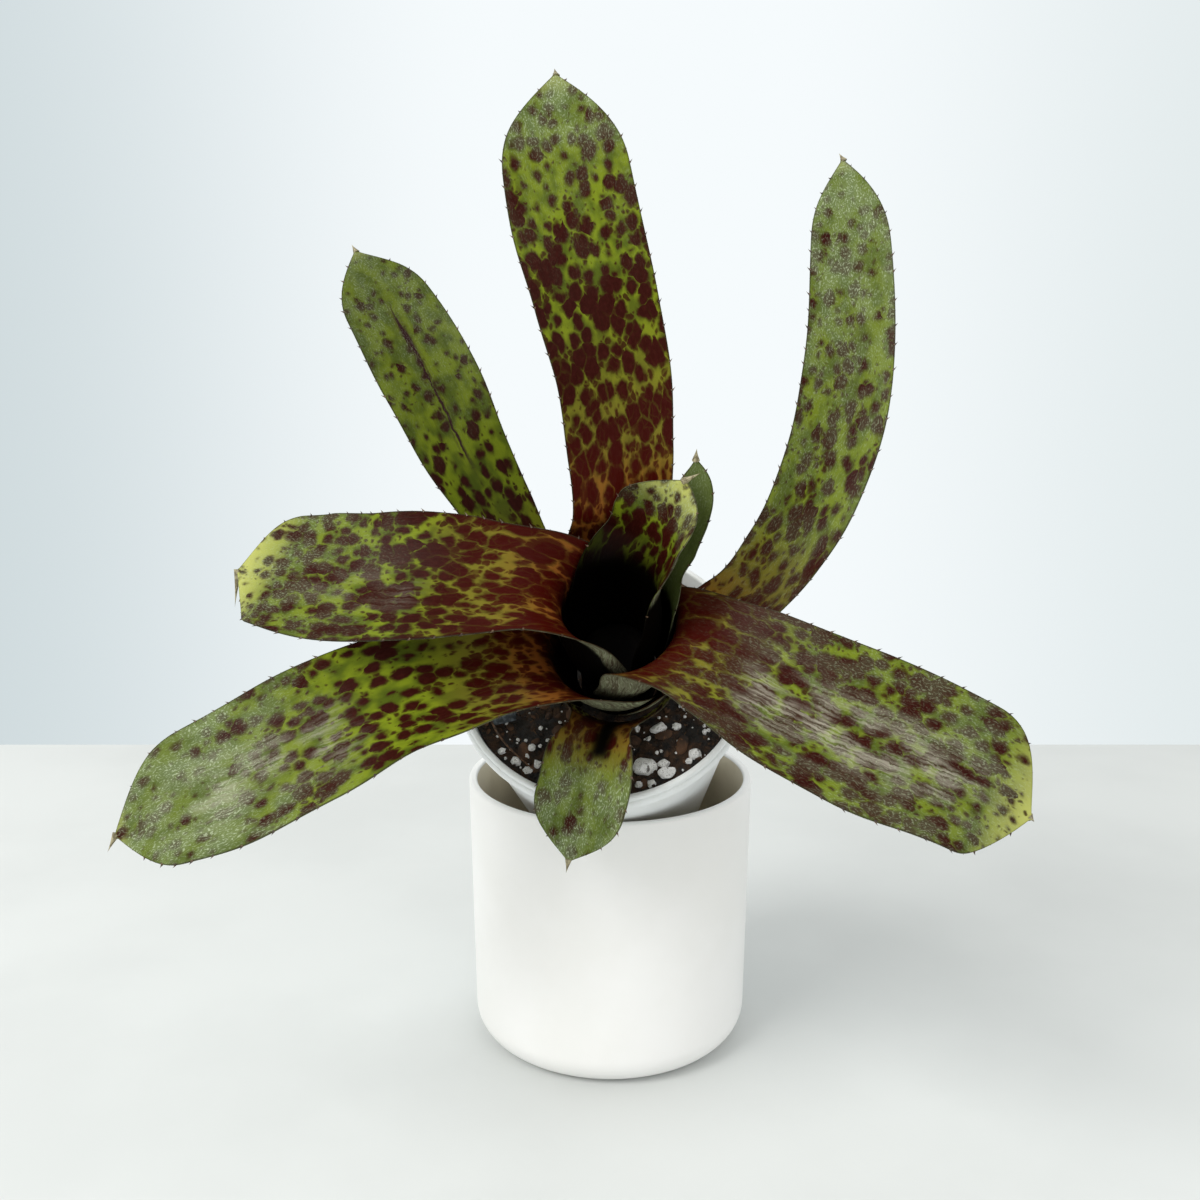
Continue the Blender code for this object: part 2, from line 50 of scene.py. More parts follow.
print("nodes in the frame:", sorted(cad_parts))

# %% [markdown]
# ## The camera
# The photograph was taken from a little above the leaves, with the lens turned slightly down.
# A camera's place can be worked out from ellipses: the pot's rim and foot are circles, so
# their drawn width and height give the distance and the tilt. The values here come from that.

# %% Photo camera
CAMERA_PLACE = (-0.0036, -0.458, 0.257)
CAMERA_TILT = 77.9       # degrees from looking straight down
camera_data = bpy.data.cameras.new("photo_camera")
camera_data.sensor_width = 36.0
camera_data.lens = 40.5
camera = bpy.data.objects.new("photo_camera", camera_data)
camera.location = CAMERA_PLACE
camera.rotation_euler = (math.radians(CAMERA_TILT), 0.0, 0.0)
bpy.context.scene.collection.objects.link(camera)
bpy.context.scene.camera = camera
print("camera at", CAMERA_PLACE, "with a lens of", camera_data.lens, "mm")

# %% [markdown]
# ## Small helpers
# Colours are picked as sRGB hex, the way a paint program shows them, while Blender's shaders
# work with linear light, so one function turns one into the other. A second one adds a shader
# node, sets it up and links what goes into it: every material below is written with it. Many
# finishes are two close colours in a cloudy pattern, so they share one recipe.

# %% Colour and node helpers
USUAL = {                # settings that these nodes get here unless told otherwise
    "MapRange": {"interpolation_type": "SMOOTHSTEP"},
    "Math": {"operation": "MULTIPLY"},
    "Mix": {"data_type": "RGBA"},
    "VectorMath": {"operation": "MULTIPLY"},
}


def linear(hex_colour):
    """Linear RGBA from an sRGB hex colour such as "#8DB52A"."""
    values = [int(hex_colour[start:start + 2], 16) / 255.0 for start in (1, 3, 5)]
    return (*(value / 12.92 if value <= 0.04045 else ((value + 0.055) / 1.055) ** 2.4
              for value in values), 1.0)


def plug(tree, node, inputs):
    """Link or set inputs, given by name or in the order that the node shows them."""
    shown = [socket for socket in node.inputs if socket.enabled]
    for key, value in inputs.items() if isinstance(inputs, dict) else enumerate(inputs):
        socket = shown[key] if isinstance(key, int) else node.inputs[key]
        if isinstance(value, bpy.types.NodeSocket):
            tree.links.new(value, socket)
        else:
            socket.default_value = linear(value) if isinstance(value, str) else value


def add(tree, kind, inputs=(), out=0, **settings):
    """Add a node with its settings and inputs, and give one of its outputs."""
    node = tree.nodes.new("ShaderNode" + kind)
    for name, value in {**USUAL.get(kind, {}), **settings}.items():
        setattr(node, name, value)
    plug(tree, node, inputs)
    shown = [socket for socket in node.outputs if socket.enabled]
    return shown[out] if isinstance(out, int) else node.outputs[out]


def new_material(name):
    """A material with an empty Principled shader: the material, its tree and that shader."""
    material = bpy.data.materials.new(name)
    material.use_nodes = True
    return material, material.node_tree, material.node_tree.nodes["Principled BSDF"]


def grain(tree, size, detail, **more):
    """Cloudy values round 0.5 in the piece's own space, with a grain size in millimetres."""
    inputs = {"Vector": add(tree, "TexCoord", out="Object"), "Scale": 1.0 / (size * MM)}
    return add(tree, "TexNoise", {**inputs, "Detail": detail, **more})


def two_tone(name, size, detail, ends, colours, finish, relief=None):
    """A finish of two close colours in a cloudy pattern, with an optional finer relief.

    ends holds the values between which the first colour gives way to the second, finish the
    shader's own values, and relief the size, detail, strength and depth of a second cloud.
    """
    material, tree, shader = new_material(name)
    share = add(tree, "MapRange", (grain(tree, size, detail), *ends))
    plug(tree, shader, {"Base Color": add(tree, "Mix", (share, *colours)), **finish})
    if relief:
        fine, fine_detail, strength, depth = relief
        bump = {"Height": grain(tree, fine, fine_detail), "Strength": strength, "Distance": depth}
        plug(tree, shader, {"Normal": add(tree, "Bump", bump)})
    return material


print("helpers ready; lime is", [round(value, 3) for value in linear("#8DB52A")[:3]])

# %% [markdown]
# ## Studio
# The photograph has a pale table, a slightly bluish wall and very soft light, brightest from
# the upper left. A large light there, a much weaker one at the right and a bright surround
# give that look. The table ends where the wall starts, 323 mm behind the pot, so no wall
# stands in the way of a camera that goes round the plant. The surround is bluish only where
# the wall would be, and a neutral grey towards the room, which keeps dark leaves dark where
# they reflect it.

# %% Table, surround and lights
TABLE_BACK = 0.323
TABLE_REACH = 2.2
TABLE_THICK = 0.02


def make_table():
    """A thin pale board with a slightly uneven matt finish."""
    mesh = bpy.data.meshes.new("table")
    body = bmesh.new()
    bmesh.ops.create_cube(body, size=1.0)
    depth = TABLE_REACH + TABLE_BACK
    body.transform(Matrix.Translation((0.0, TABLE_BACK - depth / 2.0, -TABLE_THICK / 2.0))
                   @ Matrix.Diagonal((2.0 * TABLE_REACH, depth, TABLE_THICK, 1.0)))
    body.to_mesh(mesh)
    body.free()
    table = bpy.data.objects.new("table", mesh)
    bpy.context.scene.collection.objects.link(table)
    mesh.materials.append(two_tone("pale_matt_board", 142.86, 5.0, (0.35, 0.65), ("#D1D4D3", "#D7DAD9"),
                                   {"Roughness": 0.6, "Specular IOR Level": 0.2}))


def make_light(name, place, target, power, colour):
    """A square area light, one metre wide, that looks at a point; its power is in watts."""
    data = bpy.data.lights.new(name, "AREA")
    data.size = 1.0
    data.energy = power
    data.color = linear(colour)[:3]
    light = bpy.data.objects.new(name, data)
    light.location = place
    light.rotation_euler = (Vector(target) - Vector(place)).to_track_quat("-Z", "Y").to_euler()
    bpy.context.scene.collection.objects.link(light)


def make_surround():
    """A bright surround: the pale wall at the back, darker at both its sides, and the room."""
    world = bpy.data.worlds.new("bright_surround")
    world.use_nodes = True
    bpy.context.scene.world = world
    tree = world.node_tree
    across = add(tree, "SeparateXYZ", (add(tree, "TexCoord", out="Generated"),))
    ahead = across.node.outputs["Y"]
    left = add(tree, "Mix", (add(tree, "MapRange", (across, -0.46, -0.06)), "#CFDADD", "#F6FBFD"))
    wall = add(tree, "Mix", (add(tree, "MapRange", (across, 0.12, 0.46)), left, "#E2EAEB"))
    colour = add(tree, "Mix", (add(tree, "MapRange", (ahead, 0.1, 0.6)), "#E6E5E2", wall))
    plug(tree, tree.nodes["Background"], {"Color": colour})


make_table()
make_light("soft_key", (-1.1, -0.9, 1.4), (0.0, 0.0, 0.12), 26.0, "#FFFEFB")
make_light("soft_fill", (0.7, -1.1, 0.9), (0.0, 0.0, 0.1), 3.0, "#FBFCFF")
make_surround()
bpy.context.scene.view_settings.view_transform = "Standard"
print("table, surround and", len(bpy.data.lights), "soft lights")

# %% [markdown]
# ## How the nursery pot leans
# The plant and its pot share one frame: its origin is the middle of the nursery pot's lip and
# its Z is that pot's axis. The pot leans 45 degrees towards the camera. Everything below that
# belongs to it is worked out upright in that frame and then turned into place by one matrix.
# The helpers that make meshes are here too, because every piece goes through them.

# %% The leaning frame
LIP_MIDDLE = (-2.6, -33.3, 143.7)
LEAN = 45.0
LEAN_TURN = -4.5
AXIS = np.array([5.0, -2.0, 0.0])     # plant axis in the leaning frame
TURN = np.array(Matrix.Rotation(math.radians(LEAN_TURN), 3, "Z")
                @ Matrix.Rotation(math.radians(LEAN), 3, "X"))


def to_row(points):
    """Points of the leaning frame, in millimetres, as metres in the row's frame."""
    return (np.asarray(points, float) @ TURN.T + np.array(LIP_MIDDLE)) * MM


def turns(sides):
    """Angles that go once round in equal steps."""
    return [2.0 * math.pi * step / sides for step in range(sides)]


def ring_faces(rings, around):
    """Quads between neighbouring rings of points, each ring closed."""
    return [(row * around + step, row * around + (step + 1) % around,
             (row + 1) * around + (step + 1) % around, (row + 1) * around + step)
            for row in range(rings - 1) for step in range(around)]


def shift_faces(faces, start):
    """The same faces for points that begin at another number."""
    return [tuple(index + start for index in face) for face in faces]


def make_piece(name, points, faces, materials, indices=None, sharp=40.0):
    """A smooth-shaded mesh object from points in metres."""
    mesh = bpy.data.meshes.new(name)
    mesh.from_pydata([tuple(point) for point in points], [], faces)
    for material in materials:
        mesh.materials.append(material)
    if indices is not None:
        mesh.polygons.foreach_set("material_index", indices)
    mesh.shade_smooth()
    mesh.set_sharp_from_angle(angle=math.radians(sharp))
    piece = bpy.data.objects.new(name, mesh)
    bpy.context.scene.collection.objects.link(piece)
    return piece


print("lip middle in metres:", to_row([[0.0, 0.0, 0.0]])[0].round(4))

# %% [markdown]
# ## Leaf table
# Each leaf starts as a sheath: an arc of a flared cup round the plant axis. Above the mouth of
# its sheath it becomes a blade that follows a route of a few points, each with a half width.
# The channel says how strongly the blade is folded along its length, in degrees from the
# middle to the edge. These are the same numbers as in the solids.

# %% The leaves' sizes
NEST_STEP = 1.8          # from one sheath to the next
MOUTH_RADIUS = 14.5      # innermost sheath at the mouth of the cup
SHEATH_LOW = -4.0
SHEATH_RISE = 36.0
SHEATH_FLARE = 12.5
TIP_HALF = 0.8
LEAVES = {
    "leaf_hood": dict(
        nest=0, turn=50, foot=14, mouth=43, sheath=28, channel=(78, 60), roll=(0, 0),
        cap=15, spine=(4.2, -0.5, 4),
        route=[(13.0, 12.5, 52, 18), (16.0, 14.5, 61, 17.5), (18.8, 16.8, 69, 16), (21.6, 20, 75.5, 13)],
    ),
    "leaf_left": dict(
        nest=1, turn=178, foot=12, mouth=41, sheath=30, channel=(64, 14), roll=(-6, 0),
        cap=16, spine=(-0.5, -9, -6),
        route=[(-26, -0.5, 50, 19), (-40, -1.5, 52.5, 21), (-56, -1.5, 53, 22.5), (-74, -0.5, 51, 23),
               (-91, 3.5, 48, 22), (-106, 8, 44, 19.5), (-116.5, 9.5, 41, 16)],
    ),
    "leaf_inner_back": dict(
        nest=2, turn=32, foot=10, mouth=36, sheath=20, channel=(40, 34), roll=(10, 0),
        cap=14, spine=(0, 1.2, 3),
        route=[(16.8, 10.8, 46, 7), (20, 13.6, 54, 7), (22.9, 17, 62, 6.5), (24.3, 20.9, 69, 6.2),
               (24.6, 24.4, 74.5, 5.5), (24.4, 26.6, 77.5, 4)],
    ),
    "leaf_right": dict(
        nest=3, turn=-31, foot=6, mouth=33, sheath=24, channel=(50, 12), roll=(0, 0),
        cap=19, spine=(1, -1, -0.5),
        route=[(25, -15, 38.5, 20), (38, -24, 42.5, 22), (54, -35, 45, 24), (72, -44, 45, 25),
               (90, -51, 44, 24), (105, -57, 40.5, 22.5), (116.5, -63, 35.5, 20)],
    ),
    "leaf_back_tall": dict(
        nest=4, turn=86, foot=3, mouth=32, sheath=26, channel=(44, 12), roll=(0, 0),
        cap=33, spine=(-0.5, 2, 0.5),
        route=[(2.5, 25, 52, 15.5), (2, 36, 69, 16), (0, 49, 86, 17), (-5, 64, 101, 18.2),
               (-11, 82, 115, 18.8), (-15.5, 102, 126, 18), (-18.5, 125, 133, 15.5)],
    ),
    "leaf_front_left": dict(
        nest=5, turn=-143, foot=0, mouth=20, sheath=30, channel=(84, 12), roll=(0, 0),
        cap=25, spine=(-2, -4, -2),
        route=[(-27, -19.5, 31, 17), (-42, -27, 37.5, 19.5), (-60, -35.8, 42, 21.5), (-82, -48.8, 43, 23),
               (-104, -60, 39.5, 22.3), (-124, -67, 34.5, 20), (-139, -73.2, 28, 16.5)],
    ),
    "leaf_back_right": dict(
        nest=6, turn=8, foot=-2, mouth=12, sheath=28, channel=(46, 16), roll=(10, -10),
        cap=33, spine=(-1.5, 2, 1),
        route=[(38, 13, 20, 12.5), (52, 27, 29, 13), (64, 47, 43, 14), (70.5, 71, 58, 14.3),
               (72.2, 95, 69, 13.5), (72, 118, 77, 12.5), (71, 139, 81, 10.5), (70.5, 149, 82, 9)],
    ),
    "leaf_back_left": dict(
        nest=7, turn=146, foot=-3, mouth=10, sheath=26, channel=(46, 14), roll=(0, 0),
        cap=28, spine=(-1.5, 2, 1),
        route=[(-28.5, 24, 24, 11), (-38.5, 37, 37, 12), (-49, 51, 49, 14.2), (-59.5, 69, 59, 15.8),
               (-71, 88, 65, 15.5), (-82, 106, 68, 13.5), (-91, 121, 69, 10.5)],
    ),
    "leaf_front_small": dict(
        nest=8, turn=-97, foot=-3.5, mouth=3, sheath=24, channel=(104, 14), roll=(0, 0),
        cap=20, spine=(-0.5, -3, -2),
        route=[(-4, -26, 9, 10.5), (-6, -36, 11, 14), (-7.5, -45.5, 8, 14.6), (-9.7, -53, 3, 14.3),
               (-11.5, -59, -3, 12.9), (-12.5, -62.5, -7, 11)],
    ),
}
print(len(LEAVES), "leaves in the table")

# %% [markdown]
# ## Leaf shape
# The middle line is a smooth curve through the sheath's points and the route. At every step
# along it the leaf is an arc across: round the plant axis in the sheath, and opening into a
# shallow channel in the blade. The half width closes to the tip in a pointed arch. The solids
# use the same rule with few steps, and this skin uses many.


# %% Middle surface of a leaf
def smooth_step(value):
    """Ease from 0 to 1."""
    value = np.clip(value, 0.0, 1.0)
    return value * value * (3.0 - 2.0 * value)


def curve_through(knots, values, at):
    """Smooth curve through values at knots, with slopes from the neighbouring points."""
    knots = np.asarray(knots, float)
    values = np.asarray(values, float)
    slopes = np.gradient(values, knots, axis=0)
    index = np.clip(np.searchsorted(knots, at, side="right") - 1, 0, len(knots) - 2)
    width = knots[index + 1] - knots[index]
    share = (at - knots[index]) / width
    if values.ndim > 1:
        share = share[:, None]
        width = width[:, None]
    start = 2 * share ** 3 - 3 * share ** 2 + 1
    rise = share ** 3 - 2 * share ** 2 + share
    end = -2 * share ** 3 + 3 * share ** 2
    fall = share ** 3 - share ** 2
    return (start * values[index] + rise * width * slopes[index]
            + end * values[index + 1] + fall * width * slopes[index + 1])


def sheath_radius(nest, height):
    """Distance of a sheath's middle surface from the plant axis."""
    share = np.clip((height - SHEATH_LOW) / SHEATH_RISE, 0.0, 1.0)
    return MOUTH_RADIUS - SHEATH_FLARE * (1.0 - share) ** 2 + NEST_STEP * nest


def leaf_line(leaf):
    """The leaf's middle line: knots along it, places, half widths, and where the blade starts."""
    turn = math.radians(leaf["turn"])
    heights = np.linspace(leaf["foot"], leaf["mouth"], 4)
    sheath = [(sheath_radius(leaf["nest"], z) * math.cos(turn),
               sheath_radius(leaf["nest"], z) * math.sin(turn), z) for z in heights]
    places = np.array(sheath + [point[:3] for point in leaf["route"]], float)
    steps = np.linalg.norm(np.diff(places, axis=0), axis=1)
    knots = np.concatenate([[0.0], np.cumsum(steps)])
    neck = leaf["route"][0][3]
    wide = leaf["sheath"]
    widths = [wide * 0.8, wide, wide, 0.5 * (wide + neck)]
    widths += [point[3] for point in leaf["route"]]
    return knots, places, np.array(widths, float), knots[3]


def leaf_stations(knots, mouth, sheath_rows, blade_rows):
    """Distances along the leaf: even in the sheath, closer together towards the tip."""
    sheath = np.linspace(0.0, mouth, sheath_rows + 1)
    share = np.linspace(0.0, 1.0, blade_rows + 1)[1:]
    blade = mouth + (knots[-1] - mouth) * (0.62 * share + 0.38 * np.sin(share * math.pi / 2.0))
    return np.concatenate([sheath, blade])


def leaf_surface(leaf, stations, across):
    """Middle surface of a leaf as a grid of points, and its half widths."""
    knots, places, widths, mouth = leaf_line(leaf)
    line = curve_through(knots, places, stations)
    half = curve_through(knots, widths, stations)
    length = knots[-1]
    end = np.clip((stations - (length - leaf["cap"])) / leaf["cap"], 0.0, 1.0)
    half = np.maximum(half * (1.0 - end ** 2.3), TIP_HALF)
    ahead = curve_through(knots, places, np.minimum(stations + 0.5, length))
    behind = curve_through(knots, places, np.maximum(stations - 0.5, 0.0))
    tangent = ahead - behind
    tangent /= np.linalg.norm(tangent, axis=1)[:, None]
    up = np.array([0.0, 0.0, 1.0])
    side = np.cross(up, tangent)
    side /= np.linalg.norm(side, axis=1)[:, None]
    face = np.cross(tangent, side)
    radial = line * np.array([1.0, 1.0, 0.0])
    radius = np.linalg.norm(radial, axis=1)
    inward = -radial / radius[:, None]
    share = np.clip((stations - mouth) / (length - mouth), 0.0, 1.0)
    open_up = smooth_step((stations - mouth + 4.0) / 22.0)[:, None]
    face = inward * (1.0 - open_up) + face * open_up
    face /= np.linalg.norm(face, axis=1)[:, None]
    side = np.cross(up, -inward) * (1.0 - open_up) + side * open_up
    side -= face * np.sum(side * face, axis=1)[:, None]
    side /= np.linalg.norm(side, axis=1)[:, None]
    roll = np.radians(leaf["roll"][0] + (leaf["roll"][1] - leaf["roll"][0]) * share)
    roll = (roll * smooth_step(share / 0.2))[:, None]
    side, face = side * np.cos(roll) + face * np.sin(roll), face * np.cos(roll) - side * np.sin(roll)
    neck, tip = np.radians(leaf["channel"])
    channel = tip + (neck - tip) * (1.0 - share) ** 2.2
    wrap_blade = np.maximum(channel * half / np.max(half[share >= 0.3]), 0.02)
    spread = smooth_step((stations - mouth + 2.0) / 34.0)
    wrap = half / radius * (1.0 - spread) + wrap_blade * spread
    bend = half / wrap
    angle = wrap[:, None] * np.linspace(-1.0, 1.0, across + 1)[None, :]
    sideways = (bend[:, None] * np.sin(angle))[..., None] * side[:, None, :]
    lifted = (bend[:, None] * (1.0 - np.cos(angle)))[..., None] * face[:, None, :]
    return line[:, None, :] + sideways + lifted + AXIS, half


def surface_normals(grid):
    """Unit normals of a grid of points, on the side that faces the plant axis or the sky."""
    normal = np.cross(np.gradient(grid, axis=0), np.gradient(grid, axis=1))
    return normal / np.linalg.norm(normal, axis=2)[..., None]


test_line = leaf_line(LEAVES["leaf_back_tall"])
print("the tall leaf is", round(float(test_line[0][-1])), "mm long with its sheath")

# %% [markdown]
# ## Leaf markings
# A real neoregelia leaf is lime green with wine-dark spots that crowd together towards the
# cup, where only a net of lime is left and the colour turns red. Towards the tip the spots
# are few, and fine silver scales veil them. These changes run along the leaf, so each leaf
# gets a short list of values from its sheath (below 0) to its tip (1): how much the spots
# cover, how thick the scales are, how red it is, and how pale. Some leaves also have a band
# along the middle: its strength (silver scales with a painted highlight above 0, a dark
# streak below), where it starts and ends, how wide it is and how far beside the middle it
# lies, both in millimetres. The inside of the cup is painted nearly black, as painted shade,
# up to the share called dark. A back that lies in the cup's shade is painted black as painted
# shade up to the first number of its back entry, apart from a ribbon along its edge. The neck
# entry says how wide that painted shade is on the small leaf, where pale sheath wings, partly
# painted light, stand beside it, and dim is how much painted shade darkens the upper face of
# a whole leaf that lies in the shade of the others.

# %% Values along each leaf
COLUMNS = 44             # steps across a leaf skin
LOOKS = {
    "leaf_hood": dict(
        # The hood lies in shade: dark and fade paint shade over its inside, and its spot cover is set high
        # partly as painted shade.
        cover=[(-0.2, 0.56), (0.3, 0.54), (0.6, 0.48), (0.8, 0.36), (1, 0.2)],
        scurf=[(0.5, 0.0), (0.75, 0.4), (1, 0.8)], blush=[(0, 0.2), (0.5, 0.0)],
        pale=[(0.6, 0.0), (0.9, 0.8)], dark=0.55, fade=0.6, back=(0.22, 0.0)),
    "leaf_left": dict(
        cover=[(0, 0.6), (0.25, 0.58), (0.45, 0.52), (0.65, 0.42), (0.85, 0.42), (0.93, 0.2), (1, 0.12)],
        scurf=[(0.4, 0.0), (0.7, 0.25), (0.85, 0.5), (1, 0.3)],
        blush=[(0, 1.0), (0.1, 0.75), (0.3, 0.4), (0.45, 0.05)], pale=[(0.84, 0.0), (0.97, 0.9)],
        band=(0.3, 0.35, 0.8, 7.0, 3.0), back=(0.14, 3.5)),
    "leaf_inner_back": dict(
        cover=[(0, -1.0), (1, -1.0)], scurf=[(0.5, 0.15), (1, 0.3)], blush=[(0, 0.0)], pale=[(0, 0.0)],
        back=(0.05, 0.0)),
    "leaf_right": dict(
        cover=[(0, 0.74), (0.25, 0.6), (0.45, 0.48), (0.75, 0.44), (0.9, 0.36), (1, 0.1)],
        scurf=[(0, 0.0), (0.25, 0.2), (0.5, 0.3), (0.8, 0.45), (1, 0.3)],
        blush=[(0, 0.8), (0.12, 0.5), (0.3, 0.15), (0.4, 0.0)], pale=[(0.88, 0.0), (1, 1.0)],
        band=(1.25, 0.2, 0.95, 9.0, -2.0)),
    "leaf_back_tall": dict(
        cover=[(0, 0.46), (0.2, 0.47), (0.3, 0.52), (0.45, 0.52), (0.62, 0.47), (0.8, 0.29), (1, 0.2)],
        scurf=[(0.55, 0.0), (0.8, 0.15), (0.9, 0.8), (1, 1.0)],
        blush=[(0, 1.0), (0.2, 0.8), (0.32, 0.45), (0.5, 0.15), (0.62, 0.0)], pale=[(0.95, 0.0), (1, 0.6)]),
    "leaf_front_left": dict(
        cover=[(0, 0.42), (0.2, 0.4), (0.4, 0.38), (0.6, 0.34), (0.75, 0.19), (1, 0.14)],
        scurf=[(0.45, 0.0), (0.6, 0.35), (0.75, 0.95), (1, 0.9)],
        blush=[(0, 1.0), (0.1, 0.85), (0.22, 0.4), (0.35, 0.0)], pale=[(0.96, 0.0), (1, 0.6)],
        band=(0.8, 0.42, 0.95, 9.0, 1.5)),
    "leaf_back_right": dict(
        cover=[(0, 0.42), (0.25, 0.4), (0.45, 0.36), (0.7, 0.26), (1, 0.14)],
        scurf=[(0, 0.0), (0.25, 0.2), (0.55, 0.4), (0.75, 0.8), (1, 1.0)],
        blush=[(0, 0.9), (0.15, 0.65), (0.3, 0.1), (0.4, 0.0)], pale=[(0.96, 0.0), (1, 0.6)],
        band=(-0.35, 0.4, 0.75, 3.0, -3.0)),
    "leaf_back_left": dict(
        cover=[(0, 0.38), (0.3, 0.32), (0.5, 0.2), (0.7, 0.14), (1, 0.1)],
        scurf=[(0, 0.0), (0.4, 0.0), (0.6, 0.2), (0.8, 0.45), (1, 0.6)],
        blush=[(0, 0.5), (0.2, 0.3), (0.35, 0.0)], pale=[(0.96, 0.0), (1, 0.6)],
        # dim is painted shade over the whole upper face of this leaf, which lies in the others' shade.
        band=(-1.6, 0.35, 0.9, 1.1, 0.0), dim=0.33),
    "leaf_front_small": dict(
        cover=[(0, 0.46), (0.3, 0.36), (0.5, 0.24), (1, 0.2)],
        scurf=[(0, 0.0), (0.35, 0.15), (0.55, 0.75), (1, 1.0)],
        blush=[(0, 0.9), (0.3, 0.65), (0.45, 0.15), (0.55, 0.0)],
        # Pale below 0 lightens the sheath wings: partly their own cream, partly painted light in the cup's
        # shade.
        pale=[(-0.05, 0.9), (0.03, 0.0), (0.96, 0.0), (1, 0.4)],
        # dark, fade and neck paint shade into the small leaf's throat.
        band=(-0.3, 0.5, 0.9, 2.0, 0.0), dark=0.42, fade=0.1, neck=(3.2, 2.2)),
}


def along(look, key, share):
    """A look's value at each share of the blade."""
    pairs = LOOKS[look][key]
    return np.interp(share, [pair[0] for pair in pairs], [pair[1] for pair in pairs])


def band_on(look, share, across):
    """Strength of the band along a leaf's middle, for rows at a share and columns across."""
    strength, start, end, width, beside = LOOKS[look].get("band", (0.0, 0.0, 1.0, 5.0, 0.0))
    lengthwise = smooth_step((share - start) / 0.12) * smooth_step((end - share) / 0.2)
    return strength * lengthwise[:, None] * np.exp(-((across - beside) / width) ** 2)


def deep_on(look, share, across, rim):
    """Painted shade on each point: the cup's inside, the small leaf's throat, a leaf in the others' shade,
    and backs in the cup's shade.
    """
    values = LOOKS[look]
    inside = smooth_step((values.get("dark", 0.06) - share) / values.get("fade", 0.14))[:, None]
    width, beside = values.get("neck", (1000.0, 0.0))
    inside = np.maximum(inside * np.exp(-((across - beside) / width) ** 4), values.get("dim", 0.0))
    until, ribbon = values.get("back", (-9.0, 0.0))
    back = smooth_step((until - share) / 0.1)[:, None] * smooth_step((rim - ribbon) / 1.5 + (ribbon == 0.0))
    return np.where(np.arange(across.shape[1])[None, :] > COLUMNS, back, inside)


print("spot cover half way up the tall leaf:", round(float(along("leaf_back_tall", "cover", 0.5)), 2))

# %% [markdown]
# ## Leaf skin
# The leaf is a thin closed body: an upper and a lower face that meet in a thin edge. It could
# be a sheet with a Solidify modifier, but then the edge could not thin out, so both faces are
# laid out here. The thorns along the edge are small bent cones, larger ones and finer ones in
# turn, and the tip ends in one long thorn. Each point also stores where it is on the leaf, in
# millimetres, and the values from the lists above, for the material to use.

# %% Build one leaf skin
SHEATH_ROWS = 18
BLADE_ROWS = 150
LEAF_THICK = 0.9
EDGE_THICK = 0.36
THORN_GAP = 8.5          # about the most, in millimetres, between two larger thorns
THORN_LENGTH = 1.25
THORN_RADIUS = 0.42
SPINE_RADIUS = 1.2       # of the long thorn at the tip
SWELL = 0.14             # height of the slow swells
EDGE_WAVE = 0.3          # height of the waves along the edge
PATTERN_SIDE = 60.0      # keeps the stored places above 0 across the leaf
PATTERN_STEP = 170.0     # from one leaf's stored places to the next, so no two leaves match
SIDE = np.linspace(-1.0, 1.0, COLUMNS + 1)     # from one edge of a leaf to the other


def unit(vector):
    """The same direction with a length of 1."""
    return vector / np.linalg.norm(vector)


def thorn(root, direction, bend, length, radius, sides=6, rings=3):
    """Points and faces of a small bent cone."""
    direction = unit(direction)
    side = unit(np.cross(direction, (0.3, 0.5, 0.8)))
    other = np.cross(direction, side)
    points = []
    for ring in range(rings):
        share = ring / rings
        middle = root + direction * length * share + bend * share ** 2
        width = radius * (1.0 - share) ** 1.3
        points += [middle + width * (math.cos(angle) * side + math.sin(angle) * other)
                   for angle in turns(sides)]
    points.append(root + direction * length + bend)
    last = (rings - 1) * sides
    faces = ring_faces(rings, sides)
    faces += [(last + step, last + (step + 1) % sides, rings * sides) for step in range(sides)]
    faces.append(tuple(reversed(range(sides))))
    return points, faces


def edge_thorns(grid, stations, mouth, draw):
    """Thorns along both edges of the blade, a larger and a finer one in turn."""
    points = []
    faces = []
    for column, beside in ((0, 1), (COLUMNS, COLUMNS - 1)):
        place = mouth + draw.uniform(2.0, 8.0)
        large = True
        while place < stations[-1] - 3.0:
            row = min(int(np.searchsorted(stations, place)), len(stations) - 2)
            root = grid[row, column]
            away = unit(root - grid[row, beside])
            ahead = unit(grid[row + 1, column] - root)
            size = draw.uniform(0.85, 1.15) * (1.0 if large else 0.45)
            more, corners = thorn(root - away * 0.3, away + 0.45 * ahead, 0.5 * ahead * size,
                                  THORN_LENGTH * size, THORN_RADIUS * size)
            faces += shift_faces(corners, len(points))
            points += more
            place += THORN_GAP * draw.uniform(0.28, 0.55)
            large = not large
    return points, faces


def relief(grid, normal, stations, share, number):
    """Gentle unevenness of a living blade: slow swells, and an edge that waves a little."""
    run = stations[:, None]
    swell = np.sin(run / 9.0 + 2.1 * number) * np.cos(3.1 * SIDE + 0.7 * number)
    edge = np.abs(SIDE) ** 6 * np.sin(run / 5.2 + 1.9 * number + 2.0 * np.sign(SIDE))
    amount = smooth_step((share - 0.12) / 0.2)[:, None]
    return grid + normal * (amount * (SWELL * swell + EDGE_WAVE * edge))[..., None]


